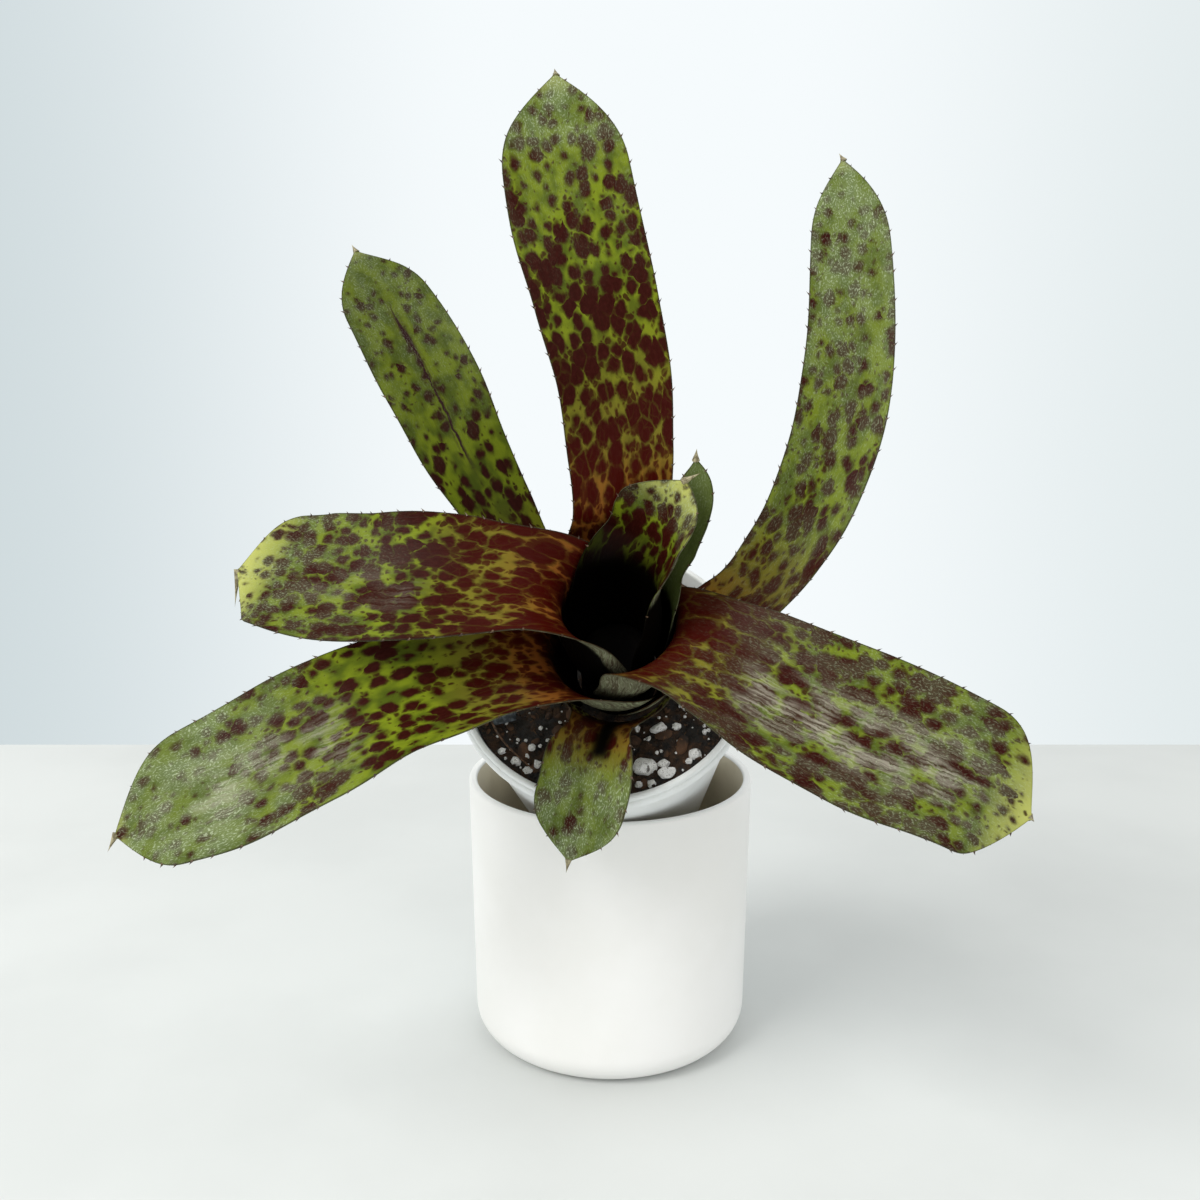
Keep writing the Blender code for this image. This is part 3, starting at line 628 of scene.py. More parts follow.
def make_leaf_skin(node, leaf, number, skin, horns):
    """One finished leaf in place of its solid."""
    draw = random.Random(100 + number)
    knots, _, _, mouth = leaf_line(leaf)
    stations = leaf_stations(knots, mouth, SHEATH_ROWS, BLADE_ROWS)
    grid, half = leaf_surface(leaf, stations, COLUMNS)
    share = (stations - mouth) / (stations[-1] - mouth)
    normal = surface_normals(grid)
    grid = relief(grid, normal, stations, share, number)
    thick = EDGE_THICK + (LEAF_THICK - EDGE_THICK) * (1.0 - np.abs(SIDE) ** 3)
    offset = normal * thick[None, :, None] / 2.0
    ring = np.concatenate([grid + offset, (grid - offset)[:, ::-1]], axis=1)
    rows, around = ring.shape[:2]
    points = list(ring.reshape(-1, 3))
    faces = ring_faces(rows, around)
    faces += [tuple(reversed(range(around))), tuple(range((rows - 1) * around, rows * around))]
    skin_faces = len(faces)
    more, corners = edge_thorns(grid, stations, mouth, draw)
    spine = np.array(leaf["spine"], float)
    last, last_faces = thorn(grid[-1].mean(axis=0) - unit(spine) * 0.8, spine, 0.08 * spine[[2, 0, 1]],
                             np.linalg.norm(spine) + 0.6, SPINE_RADIUS, 8, 5)
    corners += shift_faces(last_faces, len(more))
    faces += shift_faces(corners, len(points))
    points += more + last
    indices = np.zeros(len(faces), np.int32)
    indices[skin_faces:] = 1
    indices[-len(last_faces):] = 2
    piece = make_piece(node.replace("leaf_", "") + "_leaf", to_row(points), faces,
                       [skin, *horns], indices)
    store_values(piece.data, node, number, stations, share, half)
    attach(piece, "root")
    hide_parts(node)
    return piece


def store_values(mesh, node, number, stations, share, half):
    """Store leaf coordinates and the look's values on the points of the skin; thorns keep 0."""
    side = np.concatenate([SIDE, SIDE[::-1]])
    across = half[:, None] * side
    rim = half[:, None] * (1.0 - np.abs(side))
    stretch = 1.0 + 0.6 * (1.0 - smooth_step(share / 0.6))
    run = np.cumsum(np.diff(stations) / (0.5 * (stretch[1:] + stretch[:-1])))
    run = np.concatenate([[0.0], run])[:, None] + PATTERN_STEP * number

    def on_points(grid):
        values = np.zeros(len(mesh.vertices), np.float32)
        values[:across.size] = np.broadcast_to(grid, across.shape).ravel()
        return values

    values = {key: along(node, key, share)[:, None] for key in ("cover", "scurf", "blush", "pale")}
    values.update(under=np.arange(len(side)) > COLUMNS, rim=rim, band=band_on(node, share, across),
                  deep=deep_on(node, share, across, rim))
    for key, value in values.items():
        layer = mesh.attributes.new(key, "FLOAT", "POINT")
        layer.data.foreach_set("value", on_points(value))
    corner = np.zeros(len(mesh.loops), np.int32)
    mesh.loops.foreach_get("vertex_index", corner)
    place = np.stack([on_points(run), on_points(across + PATTERN_SIDE)], 1)
    mesh.uv_layers.new(name="leaf_mm").data.foreach_set("uv", place[corner].ravel())


print("a leaf skin has", (SHEATH_ROWS + BLADE_ROWS) * 2 * (COLUMNS + 1), "quads")

# %% [markdown]
# ## Living leaf material
# Leaf tissue is a waxy skin over wet green cells. The wax has an IOR near 1.45 and gives a
# soft gloss, weakened by the scales that lie on it. Hardly any light comes through a leaf
# this thick, so that is left out. The spots are pigment in patches of cells, about 3 mm
# across where they stand alone. A Voronoi texture gives round cells with random centres:
# below a small distance it draws loose round spots, and at a large one the spots run together
# and leave only a net between them, just as on the leaf. So one value, the cover, takes the
# pattern from the tip to the cup. Silver scales, too fine to see one by one, are drawn as
# grains under a millimetre long. Where a band is, pale streaks lie over them: part silver
# scales, part a painted highlight. The near black over the cup's inside is painted shade.

# %% Leaf skin material
SPOT = 4.2               # millimetres between neighbouring spots
SMALL_SPOT = 1.9
PATCH = 13.0             # millimetres across an open or a crowded patch
WOBBLE = (3.2, 2.4, 0.0)  # how far the pattern is pushed about, so that spots are not true rounds


def layered(tree, colour, *layers):
    """A colour with others laid over it, each by its own share from 0 to 1."""
    for share, over in layers:
        colour = add(tree, "Mix", (share, colour, over))
    return colour


def cloud(tree, place, length, width, detail=2.0):
    """Cloudy values round 0.5, with their size along and across the leaf in millimetres."""
    place = add(tree, "VectorMath", (place, (1.0 / length, 1.0 / width, 1.0)))
    return add(tree, "TexNoise", {"Vector": place, "Scale": 1.0, "Detail": detail})


def off_middle(tree, value, gain, middle=0.5):
    """How far a value lies from a middle, times a gain."""
    return add(tree, "Math", (value, gain, -gain * middle), operation="MULTIPLY_ADD")


def spots(tree, place, size, cover, soft):
    """Round spots that join as the cover grows: mask, wider shade, and the net between them."""
    inputs = {"Vector": add(tree, "VectorMath", (place, (1.0 / (size * 1.3), 1.0 / size, 1.0))),
              "Scale": 1.0, "Randomness": 0.95}
    centre = add(tree, "TexVoronoi", inputs, voronoi_dimensions="2D")
    edge = add(tree, "TexVoronoi", inputs, voronoi_dimensions="2D", feature="DISTANCE_TO_EDGE")
    pick = add(tree, "SeparateColor", (centre.node.outputs["Color"],))
    reach = add(tree, "Math", (cover, off_middle(tree, pick, 0.36)), operation="ADD")
    inside = add(tree, "Math", (reach, centre), operation="SUBTRACT")
    mask = add(tree, "Math", (inside, soft), operation="DIVIDE")
    return [add(tree, "MapRange", ends)
            for ends in ((mask, -0.5, 0.5), (inside, -0.3, 0.1), (edge, 0.11, 0.02))]


def leaf_marks(tree, flat, place, look):
    """Mask of the spots, less the pale net that parts crowded ones, and the shade round them."""
    patch = off_middle(tree, cloud(tree, flat, PATCH, PATCH * 0.62), 1.2)
    local = add(tree, "Math", (look["cover"], patch), operation="ADD")
    crowd = add(tree, "Math", (look["blush"], -0.08, local), operation="MULTIPLY_ADD")
    soft = add(tree, "Math", (look["scurf"], 0.22, 0.25), operation="MULTIPLY_ADD")
    mask, shade, net = spots(tree, place, SPOT, crowd, soft)
    sparse = add(tree, "Math", (local, off_middle(tree, look["blush"], 0.22, 1.0)), operation="ADD")
    small, _, small_net = spots(tree, place, SMALL_SPOT, sparse, add(tree, "Math", (soft, 1.3)))
    mask = add(tree, "Math", (mask, add(tree, "Math", (small, 0.9))), operation="MAXIMUM")
    net = add(tree, "Math", (net, add(tree, "Math", (small_net, 0.25))), operation="MAXIMUM")
    for ends in ((look["blush"], 0.05, 0.5), (cloud(tree, flat, 8.0, 3.5), 0.38, 0.62)):
        net = add(tree, "Math", (net, add(tree, "MapRange", ends)))
    gaps = add(tree, "Math", (net, -0.5, 1.0), operation="MULTIPLY_ADD")
    return add(tree, "Math", (mask, gaps)), shade


def leaf_colour(tree, flat, look, mask, shade):
    """Upper face: green ground, red towards the cup, with wine-dark spots."""
    ground = layered(
        tree, "#475312",
        (add(tree, "MapRange", (cloud(tree, flat, 9.0, 6.0), 0.36, 0.6)), "#6D7B18"),
        (add(tree, "Math", (look["scurf"], 0.7)), "#4E5C2E"),
        (add(tree, "MapRange", (look["blush"], 0.0, 0.55)), "#6B6420"),
        (add(tree, "MapRange", (look["blush"], 0.5, 1.0)), "#8A4E20"),
        (add(tree, "MapRange", (look["cover"], -0.6, -0.9)), "#525E2C"),
        (add(tree, "Math", (shade, 0.6)), "#33300D"),
        (look["pale"], "#B0B362"))
    wine = layered(
        tree, "#2C0B06",
        (add(tree, "MapRange", (look["blush"], 0.1, 0.9)), "#3D0904"),
        (off_middle(tree, cloud(tree, flat, 1.6, 1.1, 3.0), 1.2, 0.42), "#421914"))
    return add(tree, "Mix", (mask, ground, wine))


def scales_and_painted_highlight(tree, flat, place, look, colour):
    """Silver scales over a colour: fine grains, and band streaks that are part scales, part painted
    highlight.
    """
    grains = add(tree, "MapRange", (cloud(tree, place, 0.85, 0.42), 0.5, 0.68))
    patches = add(tree, "MapRange", (cloud(tree, flat, 12.0, 7.0), 0.34, 0.62))
    streaks = add(tree, "MapRange", (cloud(tree, place, 22.0, 0.9, 3.0), 0.34, 0.66))
    thick = add(tree, "Math", (patches, 0.75, 0.25), operation="MULTIPLY_ADD")
    scales = add(tree, "Math", (add(tree, "Math", (grains, look["scurf"])), thick))
    veil = add(tree, "Math", (look["scurf"], patches))
    # Painted highlight: pale streaks along a band above 0, part silver scales and part painted gloss.
    painted_highlight = add(tree, "Math", (streaks, add(tree, "Math", (look["band"], patches))))
    dark = add(tree, "Math", (streaks, add(tree, "Math", (look["band"], -1.0))))
    colour = layered(
        tree, colour,
        (add(tree, "Math", (veil, 0.42)), "#74815F"),
        (add(tree, "Math", (painted_highlight, 0.5)), "#B3AD9E"),
        (dark, "#311A1C"),
        (add(tree, "Math", (scales, 0.72)), "#B0BC9B"))
    return colour, scales


def leaf_back_colour(tree, place, mask):
    """Under face: grey-green with dark lengthwise flecks and pale scales."""
    grains = add(tree, "MapRange", (cloud(tree, place, 1.4, 0.4), 0.5, 0.66))
    return layered(
        tree, "#838A6C",
        (add(tree, "MapRange", (cloud(tree, place, 8.0, 0.9, 4.0), 0.42, 0.64)), "#565440"),
        (add(tree, "Math", (mask, 0.55)), "#3E2C24"),
        (add(tree, "Math", (grains, 0.5)), "#979880"))


def leaf_material():
    """The spotted leaf skin; a leaf with no cover comes out plain green."""
    material, tree, shader = new_material("waxy_spotted_leaf_skin")
    flat = add(tree, "UVMap", uv_map="leaf_mm")
    wobble = cloud(tree, flat, 3.2, 2.6, 3.0).node.outputs["Color"]
    shift = add(tree, "VectorMath", (wobble, (0.5, 0.5, 0.5)), operation="SUBTRACT")
    place = add(tree, "VectorMath", (shift, WOBBLE, flat), operation="MULTIPLY_ADD")
    look = {name: add(tree, "Attribute", out="Fac", attribute_name=name)
            for name in ("cover", "scurf", "blush", "under", "deep", "pale", "rim", "band")}
    mask, shade = leaf_marks(tree, flat, place, look)
    upper, scales = scales_and_painted_highlight(tree, flat, place, look, leaf_colour(tree, flat, look, mask, shade))
    edge = add(tree, "MapRange", (look["rim"], 0.5, 0.1))
    # The last layer is painted shade: near black over the cup's inside, the shaded backs, the small leaf's
    # throat and the dimmed leaf.
    colour = layered(
        tree, upper,
        (look["under"], leaf_back_colour(tree, place, mask)),
        (add(tree, "Math", (edge, 0.6)), "#2B2A1C"),
        (look["deep"], "#030201"))
    dull = add(tree, "Math", (scales, 0.25, 0.38), operation="MULTIPLY_ADD")
    veins = add(tree, "Math", (cloud(tree, flat, 30.0, 0.9), 0.8))
    height = add(tree, "Math", (scales, 0.5, veins), operation="MULTIPLY_ADD")
    plug(tree, shader, {
        "Base Color": colour,
        "Roughness": add(tree, "Math", (look["under"], 0.2, dull), operation="MULTIPLY_ADD"),
        "IOR": 1.45, "Specular IOR Level": 0.05,
        "Normal": add(tree, "Bump", {"Height": height, "Strength": 0.5, "Distance": 0.00025}),
    })
    return material


def dry_material(name, dark, light):
    """A dry finish in two tones, grained as coarsely as it needs to show: about 1 mm."""
    return two_tone(name, 1.111, 2.0, (0.4, 0.6), (dark, light), {"Roughness": 0.5})


# Thorns are dry horn: dark brown along the edges, bleached tan at the long tip thorn.
leaf_skin = leaf_material()
thorn_horns = (dry_material("dry_thorn_horn", "#2A1D14", "#5A4630"),
               dry_material("bleached_tip_thorn_horn", "#6B6246", "#9C9474"))
print("leaf material has", len(leaf_skin.node_tree.nodes), "nodes")

# %% [markdown]
# ## Nine leaves
# Each leaf has a number, which seeds the draw for its thorns and moves its pattern along, so
# the leaves differ from each other and still come out the same each time.

# %% Grow all the leaves
for number, (node, leaf) in enumerate(LEAVES.items()):
    piece = make_leaf_skin(node, leaf, number, leaf_skin, thorn_horns)
    print(piece.name, "has", len(piece.data.polygons), "faces")

# %% [markdown]
# ## White pot
# Both pots are round, so each is a profile turned about its axis. The white pot is slip-cast
# ceramic. Its outside and rim have a satin white glaze, smooth with faint ripples from the
# casting. Its inside was left unglazed, so the dull warm grey body shows, slightly stained by
# watering.

# %% Turned shapes and the white pot
POT_SIDES = 160
POT_RADIUS = 50.0
POT_HEIGHT = 96.0
POT_LOW = 48.8           # radius at the end of the rounded lower edge
POT_MOUTH = 47.2
POT_WALL = 2.8
POT_FLOOR = 4.0
FOOT_CURVE = 11.0
INNER_CURVE = 8.2
RIM_CURVE = 0.9


def arc(x, z, radius, start, end, steps):
    """Points on an arc in the profile's plane, angles in degrees."""
    return [(x + radius * math.cos(angle), z + radius * math.sin(angle))
            for angle in np.radians(np.linspace(start, end, steps + 1))]


def refine(profile, gap):
    """Add points on long stretches of a profile, so that bumps and shading stay even."""
    fine = [profile[0]]
    for (x, z), (next_x, next_z) in zip(profile, profile[1:]):
        steps = max(1, int(math.hypot(next_x - x, next_z - z) / gap))
        for step in range(1, steps + 1):
            part = step / steps
            fine.append((x * (1 - part) + next_x * part, z * (1 - part) + next_z * part))
    return fine


def turned(profile, sides):
    """Points and faces of a closed profile turned about Z; radius 0 is one point."""
    points = []
    rings = []
    for radius, height in profile:
        rings.append([len(points) + (side if radius else 0) for side in range(sides)])
        points += [(radius * math.cos(angle), radius * math.sin(angle), height)
                   for angle in turns(sides if radius else 1)]
    faces = []
    for lower, upper in zip(rings, rings[1:]):
        for side in range(sides):
            after = (side + 1) % sides
            corners = (lower[side], lower[after], upper[after], upper[side])
            faces.append(tuple(dict.fromkeys(corners)))
    return points, faces


def make_white_pot(glaze, body):
    """The white pot, in place of its solid."""
    rim = POT_HEIGHT - RIM_CURVE
    outside = [(0.0, 0.0)] + arc(POT_LOW - FOOT_CURVE, FOOT_CURVE, FOOT_CURVE, -90, 0, 20)
    outside += arc(POT_RADIUS - RIM_CURVE, rim, RIM_CURVE, 0, 90, 6)
    outside += arc(POT_MOUTH + RIM_CURVE, rim, RIM_CURVE, 90, 180, 6)
    outside = refine(outside, 3.0)
    floor = arc(POT_LOW - POT_WALL - INNER_CURVE, POT_FLOOR + INNER_CURVE, INNER_CURVE, 0, -90, 12)
    inside = refine([outside[-1]] + floor + [(0.0, POT_FLOOR)], 3.0)
    points, faces = turned(outside + inside[1:], POT_SIDES)
    indices = np.zeros(len(faces), np.int32)
    indices[(len(outside) - 1) * POT_SIDES:] = 1
    piece = make_piece("white_pot", np.array(points) * MM, faces, [glaze, body], indices)
    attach(piece, "root")
    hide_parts("outer_pot")
    return piece


white_pot = make_white_pot(
    two_tone("slip_cast_white_satin_glaze", 45.45, 4.0, (0.35, 0.65), ("#F2F2F0", "#F6F6F5"),
             {"Roughness": 0.42, "IOR": 1.5, "Specular IOR Level": 0.4},
             relief=(1.111, 2.0, 0.12, 0.0001)),
    two_tone("unglazed_warm_grey_body", 28.57, 5.0, (0.38, 0.66), ("#E4DAC2", "#CFC4AA"),
             {"Roughness": 0.7}, relief=(0.625, 2.0, 0.3, 0.0001)))
print("white pot has", len(white_pot.data.polygons), "faces")

# %% [markdown]
# ## Nursery pot
# This pot is thin moulded polypropylene, with fine rings left by the mould, and slightly
# see-through where it is thin. The rings are a bump in the finish, less than a millimetre
# apart, so each point of the mesh stores its height along the pot's axis for them.

# %% Nursery pot
RING_GAP = 0.9           # millimetres from one mould ring to the next
DRAINS = 6
DRAIN_REACH = 25.0       # from the pot's middle to a drain hole's
DRAIN_RADIUS = 4.0
LIP_RADIUS = 48.5
CUP_TOP = 46.9
CUP_BOTTOM = 34.0
CUP_DEPTH = 84.0
SHELL = 1.2


def plastic_material():
    """White moulded polypropylene with fine mould rings."""
    material, tree, shader = new_material("moulded_white_polypropylene")
    rise = add(tree, "SeparateXYZ", (add(tree, "UVMap", uv_map="height_mm"),))
    turn = add(tree, "Math", (rise, 2.0 * math.pi / RING_GAP))
    wave = add(tree, "Math", (turn,), operation="SINE")
    dust = grain(tree, 6.25, 5.0)
    height = add(tree, "Math", (wave, 0.25, dust), operation="MULTIPLY_ADD")
    plug(tree, shader, {
        "Base Color": layered(tree, "#EDF0F1", (add(tree, "MapRange", (dust, 0.4, 0.75)), "#E6E9E8")),
        "Roughness": 0.34, "IOR": 1.49,
        "Subsurface Weight": 0.15, "Subsurface Radius": (0.003, 0.003, 0.003),
        "Normal": add(tree, "Bump", {"Height": height, "Strength": 0.2, "Distance": 0.00015}),
    })
    return material


def cup_radius(height):
    """Outer radius of the nursery pot's wall at a height below its lip."""
    return CUP_TOP + (CUP_TOP - CUP_BOTTOM) * height / CUP_DEPTH


def make_nursery_pot(plastic):
    """The leaning nursery pot with its skirted lip and six drain holes."""
    top = LIP_RADIUS - 1.0
    inner_top = CUP_TOP - SHELL
    inner_bottom = CUP_BOTTOM - SHELL
    profile = [
        (0.0, -CUP_DEPTH + SHELL), (inner_bottom - 1.0, -CUP_DEPTH + SHELL),
        (inner_bottom, -CUP_DEPTH + SHELL + 1.5), (inner_top, -1.0), (inner_top + 0.2, -0.3),
        (inner_top + 0.5, 0.0), (top - 0.5, 0.0), (top - 0.05, -0.25), (top + 0.1, -0.6),
        (top + 0.15, -2.0), (top + 0.35, -2.15), (top + 0.7, -2.4), (LIP_RADIUS - 0.1, -4.4),
        (LIP_RADIUS, -5.0), (LIP_RADIUS - 1.2, -5.1), (cup_radius(-3.2), -3.2),
        (cup_radius(-30.0), -30.0), (CUP_BOTTOM, -CUP_DEPTH + 1.8),
        (CUP_BOTTOM - 0.5, -CUP_DEPTH + 0.5), (CUP_BOTTOM - 1.8, -CUP_DEPTH), (0.0, -CUP_DEPTH),
    ]
    points, faces = turned(refine(profile, 4.0), POT_SIDES)
    piece = make_piece("thin_nursery_pot", to_row(points), faces, [plastic], sharp=50.0)
    layer = piece.data.uv_layers.new(name="height_mm")
    for loop in piece.data.loops:
        x, y, height = points[loop.vertex_index]
        layer.data[loop.index].uv = (height, math.hypot(x, y))
    drills = []
    low, high = -CUP_DEPTH - 2.5, -CUP_DEPTH + 4.0
    for index in range(DRAINS):
        angle = 2.0 * math.pi * (index + 0.5) / DRAINS
        middle = np.array([DRAIN_REACH * math.cos(angle), DRAIN_REACH * math.sin(angle), 0.0])
        pin = [(0.0, low), (DRAIN_RADIUS, low), (DRAIN_RADIUS, high), (0.0, high)]
        drill_points, drill_faces = turned(pin, 28)
        drills.append(make_piece(f"drill_{index}", to_row(drill_points + middle), drill_faces, []))
        cut = piece.modifiers.new(f"drain_{index}", "BOOLEAN")
        cut.operation = "DIFFERENCE"
        cut.solver = "EXACT"
        cut.object = drills[-1]
    bpy.context.view_layer.update()
    graph = bpy.context.evaluated_depsgraph_get()
    drilled = bpy.data.meshes.new_from_object(piece.evaluated_get(graph))
    piece.modifiers.clear()
    piece.data = drilled
    for drill in drills:
        bpy.data.objects.remove(drill, do_unlink=True)
    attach(piece, "root")
    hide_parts("nursery_pot")
    return piece


nursery_pot = make_nursery_pot(plastic_material())
print("nursery pot has", len(nursery_pot.data.polygons), "faces")

# %% [markdown]
# ## Soil
# The pot holds a coarse mix of bark, peat and perlite. A noise texture alone looks flat from
# this near, so the ground is a finely divided surface with real lumps. It is damp, so it is
# nearly black, with brown bark and a few ochre fibres.

# %% Soil ground
SOIL_LEVEL = -6.0
STEM_RADIUS = 12.0
STEM_LOW = -30.3         # bottom of the stem's hole
GAP = 0.3                # from the soil to the pot and to the stem


def lump(x, y):
    """Height of the soil's coarse lumps, from a few crossing waves."""
    wave = math.sin(0.31 * x + 1.3) * math.cos(0.27 * y - 0.6)
    ripple = math.sin(0.62 * x - 0.5 * y + 2.0) * math.cos(0.55 * y + 0.23 * x)
    return 1.1 * (0.65 * wave + 0.45 * ripple)


def crumb_relief(x, y):
    """Fine crumbs on top of the coarse lumps."""
    fine = math.sin(1.9 * x + 0.7 * math.sin(1.3 * y)) * math.sin(2.1 * y + 0.9 * math.sin(1.1 * x))
    finer = math.sin(4.3 * x + 1.1 * y + 1.0) * math.sin(3.9 * y - 1.7 * x)
    return 0.28 * fine + 0.16 * finer


def soil_material():
    """Damp bark and peat: nearly black, with brown and a few ochre fibres."""
    material, tree, shader = new_material("damp_bark_and_peat")
    tone = grain(tree, 3.846, 6.0)
    fibre = grain(tree, 1.613, 3.0, Distortion=1.5)
    height = add(tree, "Math", (tone, fibre), operation="ADD")
    plug(tree, shader, {
        "Base Color": layered(tree, "#120D0A", (add(tree, "MapRange", (tone, 0.4, 0.68)), "#463223"),
                              (add(tree, "MapRange", (fibre, 0.6, 0.72)), "#5C4028")),
        "Roughness": add(tree, "MapRange", (tone, 0.4, 0.6, 0.65, 0.95)),
        "Normal": add(tree, "Bump", {"Height": height, "Strength": 0.9, "Distance": 0.0006}),
    })
    return material


def make_ground(material):
    """The soil plug: finely divided on top, plain where the pot hides it."""
    sides, rings = 200, 46
    hole = STEM_RADIUS + GAP
    bottom = -CUP_DEPTH + SHELL + GAP
    wall = cup_radius(SOIL_LEVEL) - SHELL - GAP
    wall_low = cup_radius(bottom) - SHELL - GAP - 1.2
    points = []
    for ring in range(rings + 1):
        share = ring / rings
        swell = math.sin(math.pi * min(share, 0.97)) ** 0.5
        for angle in turns(sides):
            x = (AXIS[0] + hole * math.cos(angle)) * (1 - share) + wall * math.cos(angle) * share
            y = (AXIS[1] + hole * math.sin(angle)) * (1 - share) + wall * math.sin(angle) * share
            points.append((x, y, SOIL_LEVEL + (lump(x, y) + crumb_relief(x, y)) * swell))
    for radius, height, x, y in ((wall_low, bottom, 0.0, 0.0), (hole, STEM_LOW, AXIS[0], AXIS[1])):
        points += [(x + radius * math.cos(angle), y + radius * math.sin(angle), height)
                   for angle in turns(sides)]
    pit = (rings + 2) * sides
    faces = ring_faces(rings + 2, sides)
    faces += [(pit + side, pit + (side + 1) % sides, (side + 1) % sides, side) for side in range(sides)]
    faces += [tuple(reversed(range(pit, pit + sides))), tuple(range(pit - sides, pit))]
    piece = make_piece("soil_ground", to_row(points), faces, [material], sharp=60.0)
    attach(piece, "root")
    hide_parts("soil")
    return piece


peat = soil_material()
ground = make_ground(peat)
print("soil ground has", len(ground.data.polygons), "faces")

# %% [markdown]
# ## Grains and chips on the soil
# Bark chips, crumbs and perlite grains are separate small bodies sunk into the ground, each a
# ball that was pushed out of round and then chipped flat. Perlite is expanded volcanic glass:
# white, light and full of pores, so its grains get a rough, pitted surface, with pores drawn
# wider than real ones so that they show, and painted grey in their pits as painted shade.
# Composted pine bark is dark red-brown, with paler split faces. One flake of split slate lies
# at the left, dark and grey-blue, and one thin dry root, red-brown, crosses the soil at its
# front left.

# %% Perlite, bark and crumbs
INNER_REACH = 17.0       # nothing is scattered nearer to the pot's middle
PORE = 0.667             # millimetres from one pore of the perlite to the next
ROOT_SIDES = 8
SEEN_GRAINS = [          # white grains in sight at the front: x, y and radius
    (14.7, -32.9, 3.7), (20.6, -31.0, 2.0), (21.4, -34.4, 2.6), (24.4, -18.5, 1.5),
    (30.2, -27.8, 2.2), (28.6, -30.4, 1.3), (13.2, -38.5, 1.5), (16.8, -38.4, 1.5),
    (-21.6, -26.9, 1.3), (-26.4, -32.2, 1.8), (-22.4, -34.8, 1.5), (-31.2, -28.5, 1.4),
]
SLATE = [(-32.0, -15.8, 5.2)]     # x, y and size of the one flake
ROOT_PATH = [(-36.8, -16.0, -4.2), (-32.1, -24.2, -3.4), (-26.7, -30.1, -3.6), (-20.5, -35.1, -4.4)]


def random_axis(draw):
    """A direction that can point anywhere."""
    return Vector([draw.gauss(0.0, 1.0) for _ in range(3)]).normalized()


def rough_lump(draw, place, size, squash, detail, roughness, cuts):
    """Points and faces of an uneven lump: a divided ball, pushed by waves, then chipped flat."""
    body = bmesh.new()
    bmesh.ops.create_icosphere(body, subdivisions=detail, radius=1.0)
    waves = [(random_axis(draw), draw.uniform(1.5, 5.5), draw.uniform(0.0, 6.3)) for _ in range(7)]
    turn = Matrix.Rotation(draw.uniform(0.0, 6.3), 3, random_axis(draw))
    tilt = Matrix.Rotation(draw.uniform(-0.5, 0.5), 3, "X")
    tilt = tilt @ Matrix.Rotation(draw.uniform(0.0, 6.3), 3, "Z")
    chips = [(random_axis(draw), draw.uniform(0.6, 0.9)) for _ in range(cuts)]
    points = []
    for vert in body.verts:
        push = sum(math.sin(rate * vert.co.dot(axis) + phase) for axis, rate, phase in waves)
        corner = vert.co * (1.0 + roughness * push / len(waves))
        for axis, reach in chips:
            corner = corner - axis * max(corner.dot(axis) - reach, 0.0)
        corner = tilt @ Vector([part * share for part, share in zip(turn @ corner, squash)])
        points.append(np.array(place) + size * np.array(corner))
    faces = [tuple(vert.index for vert in face.verts) for face in body.faces]
    body.free()
    return points, faces


def scatter(name, seed, count, sizes, squash, detail, roughness, sink, material,
            fixed=(), cuts=0):
    """Many lumps on the soil in one piece, placed by a seeded rule, clear of the stem."""
    draw = random.Random(seed)
    wall = cup_radius(SOIL_LEVEL) - SHELL - 0.6
    places = list(fixed)
    while len(places) < count + len(fixed):
        size = sizes[0] + (sizes[1] - sizes[0]) * draw.random() ** 2
        angle = draw.uniform(0.0, 2.0 * math.pi)
        reach = math.sqrt(draw.uniform(INNER_REACH ** 2, (wall - size) ** 2))
        x, y = reach * math.cos(angle), reach * math.sin(angle)
        if math.hypot(x - AXIS[0], y - AXIS[1]) < STEM_RADIUS + 3.0 + size:
            continue
        if size > 1.0 and any(math.hypot(x - a, y - b) < size + c for a, b, c in places):
            continue
        places.append((x, y, size))
    points = []
    faces = []
    for x, y, size in places:
        height = SOIL_LEVEL + lump(x, y) * 0.8 + size * sink
        more, corners = rough_lump(draw, (x, y, height), size, squash, detail, roughness, cuts)
        faces += shift_faces(corners, len(points))
        points += more
    piece = make_piece(name, to_row(points), faces, [material], sharp=45.0)
    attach(piece, "root")
    return piece


def perlite_material():
    """Expanded volcanic glass: white and dull, its pores painted grey as painted shade, with a few soil
    stains.
    """
    material, tree, shader = new_material("white_expanded_perlite")
    place = add(tree, "TexCoord", out="Object")
    pores = add(tree, "TexVoronoi", {"Vector": place, "Scale": 1.0 / (PORE * MM)})
    stain = add(tree, "MapRange", (grain(tree, 3.333, 4.0), 0.6, 0.68, 0.0, 0.85))
    # The grey at the pores' middles is painted shade in the pits; the white is the glass itself.
    plug(tree, shader, {
        "Base Color": layered(tree, "#7C746A", (add(tree, "MapRange", (pores, 0.05, 0.3)), "#FFFFFF"),
                              (stain, "#3C3128")),
        "Roughness": 0.85,
        "Normal": add(tree, "Bump", {"Height": pores, "Strength": 0.9, "Distance": 0.0004}),
    })
    return material


def bark_material():
    """Composted pine bark: dark red-brown with paler split faces."""
    material, tree, shader = new_material("composted_pine_bark")
    tone = add(tree, "MapRange", (grain(tree, 7.692, 3.0), 0.38, 0.64))
    layers = grain(tree, 1.111, 3.0)
    plug(tree, shader, {
        "Base Color": layered(tree, "#1B130E", (tone, "#5E402A"),
                              (add(tree, "MapRange", (layers, 0.6, 0.75)), "#7A5233")),
        "Roughness": 0.8,
        "Normal": add(tree, "Bump", {"Height": layers, "Strength": 0.8, "Distance": 0.0004}),
    })
    return material


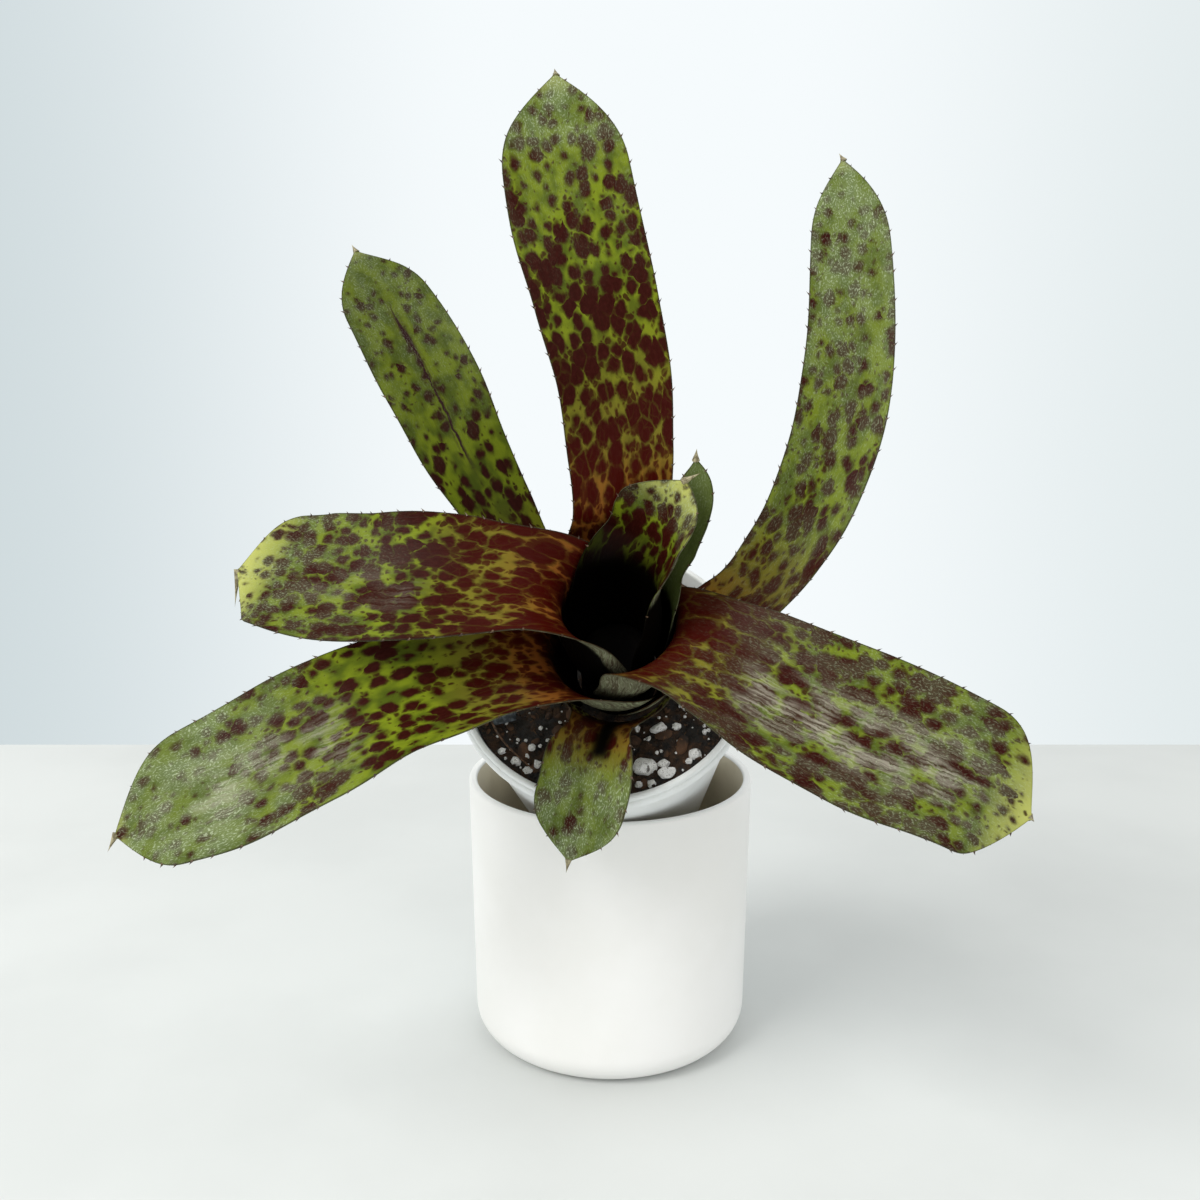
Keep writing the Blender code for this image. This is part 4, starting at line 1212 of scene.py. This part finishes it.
def make_root(path, radius, material):
    """A thin dry root that lies on the soil, as a round tube along a smooth path."""
    knots = np.arange(len(path), dtype=float)
    at = np.linspace(0.0, len(path) - 1.0, 40)
    line = curve_through(knots, path, at)
    ahead = np.gradient(line, axis=0)
    ahead /= np.linalg.norm(ahead, axis=1)[:, None]
    beside = np.cross(ahead, (0.0, 0.0, 1.0))
    above = np.cross(beside, ahead)
    points = []
    for step, (middle, side, up) in enumerate(zip(line, beside, above)):
        width = radius * (1.0 - 0.012 * step) * (1.0 + 0.15 * math.sin(1.7 * step))
        points += [middle + width * (math.cos(turn) * side + math.sin(turn) * up)
                   for turn in turns(ROOT_SIDES)]
    faces = ring_faces(len(line), ROOT_SIDES)
    faces += [tuple(reversed(range(ROOT_SIDES))), tuple(range(len(points) - ROOT_SIDES, len(points)))]
    piece = make_piece("dry_root", to_row(points), faces, [material])
    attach(piece, "root")
    return piece


perlite = perlite_material()
bark = bark_material()
slate = dry_material("split_slate", "#33393F", "#59626A")
root_skin = dry_material("dry_root_skin", "#3E2A1B", "#6E4E34")
for made in (
    scatter("perlite_grains", seed=5, count=44, sizes=(1.0, 2.6), squash=(1.08, 0.9, 0.8), detail=4,
            roughness=0.4, sink=0.15, material=perlite, fixed=SEEN_GRAINS, cuts=9),
    scatter("perlite_dust", seed=8, count=240, sizes=(0.25, 0.8), squash=(1.0, 0.9, 0.8), detail=2,
            roughness=0.35, sink=0.3, material=perlite, cuts=5),
    scatter("bark_chips", seed=11, count=170, sizes=(1.0, 3.4), squash=(1.0, 0.62, 0.3), detail=2,
            roughness=0.32, sink=0.1, material=bark),
    scatter("slate_flake", seed=17, count=0, sizes=(1.0, 1.0), squash=(1.0, 0.8, 0.24), detail=3,
            roughness=0.25, sink=0.15, material=slate, fixed=SLATE, cuts=6),
    make_root(ROOT_PATH, 0.42, root_skin),
    scatter("soil_crumbs", seed=13, count=900, sizes=(0.35, 1.1), squash=(1.0, 0.8, 0.7), detail=1,
            roughness=0.25, sink=0.2, material=peat),
):
    print(made.name, "has", len(made.data.polygons), "faces")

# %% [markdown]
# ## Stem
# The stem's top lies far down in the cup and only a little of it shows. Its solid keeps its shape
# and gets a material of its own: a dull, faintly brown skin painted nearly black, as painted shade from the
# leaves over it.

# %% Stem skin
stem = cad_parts["stem"]
# Painted shade: the stem's skin is near black to stand in for the leaves' shade on it.
stem_painted_shade = two_tone("stem_skin_painted_near_black", 8.333, 4.0, (0.4, 0.65), ("#030202", "#090705"),
                     {"Roughness": 0.9, "Specular IOR Level": 0.05},
                     relief=(8.333, 4.0, 0.6, 0.0005))
for place in stem.material_slots:
    place.material = stem_painted_shade
print("stem keeps its solid, with", len(stem.material_slots), "material")
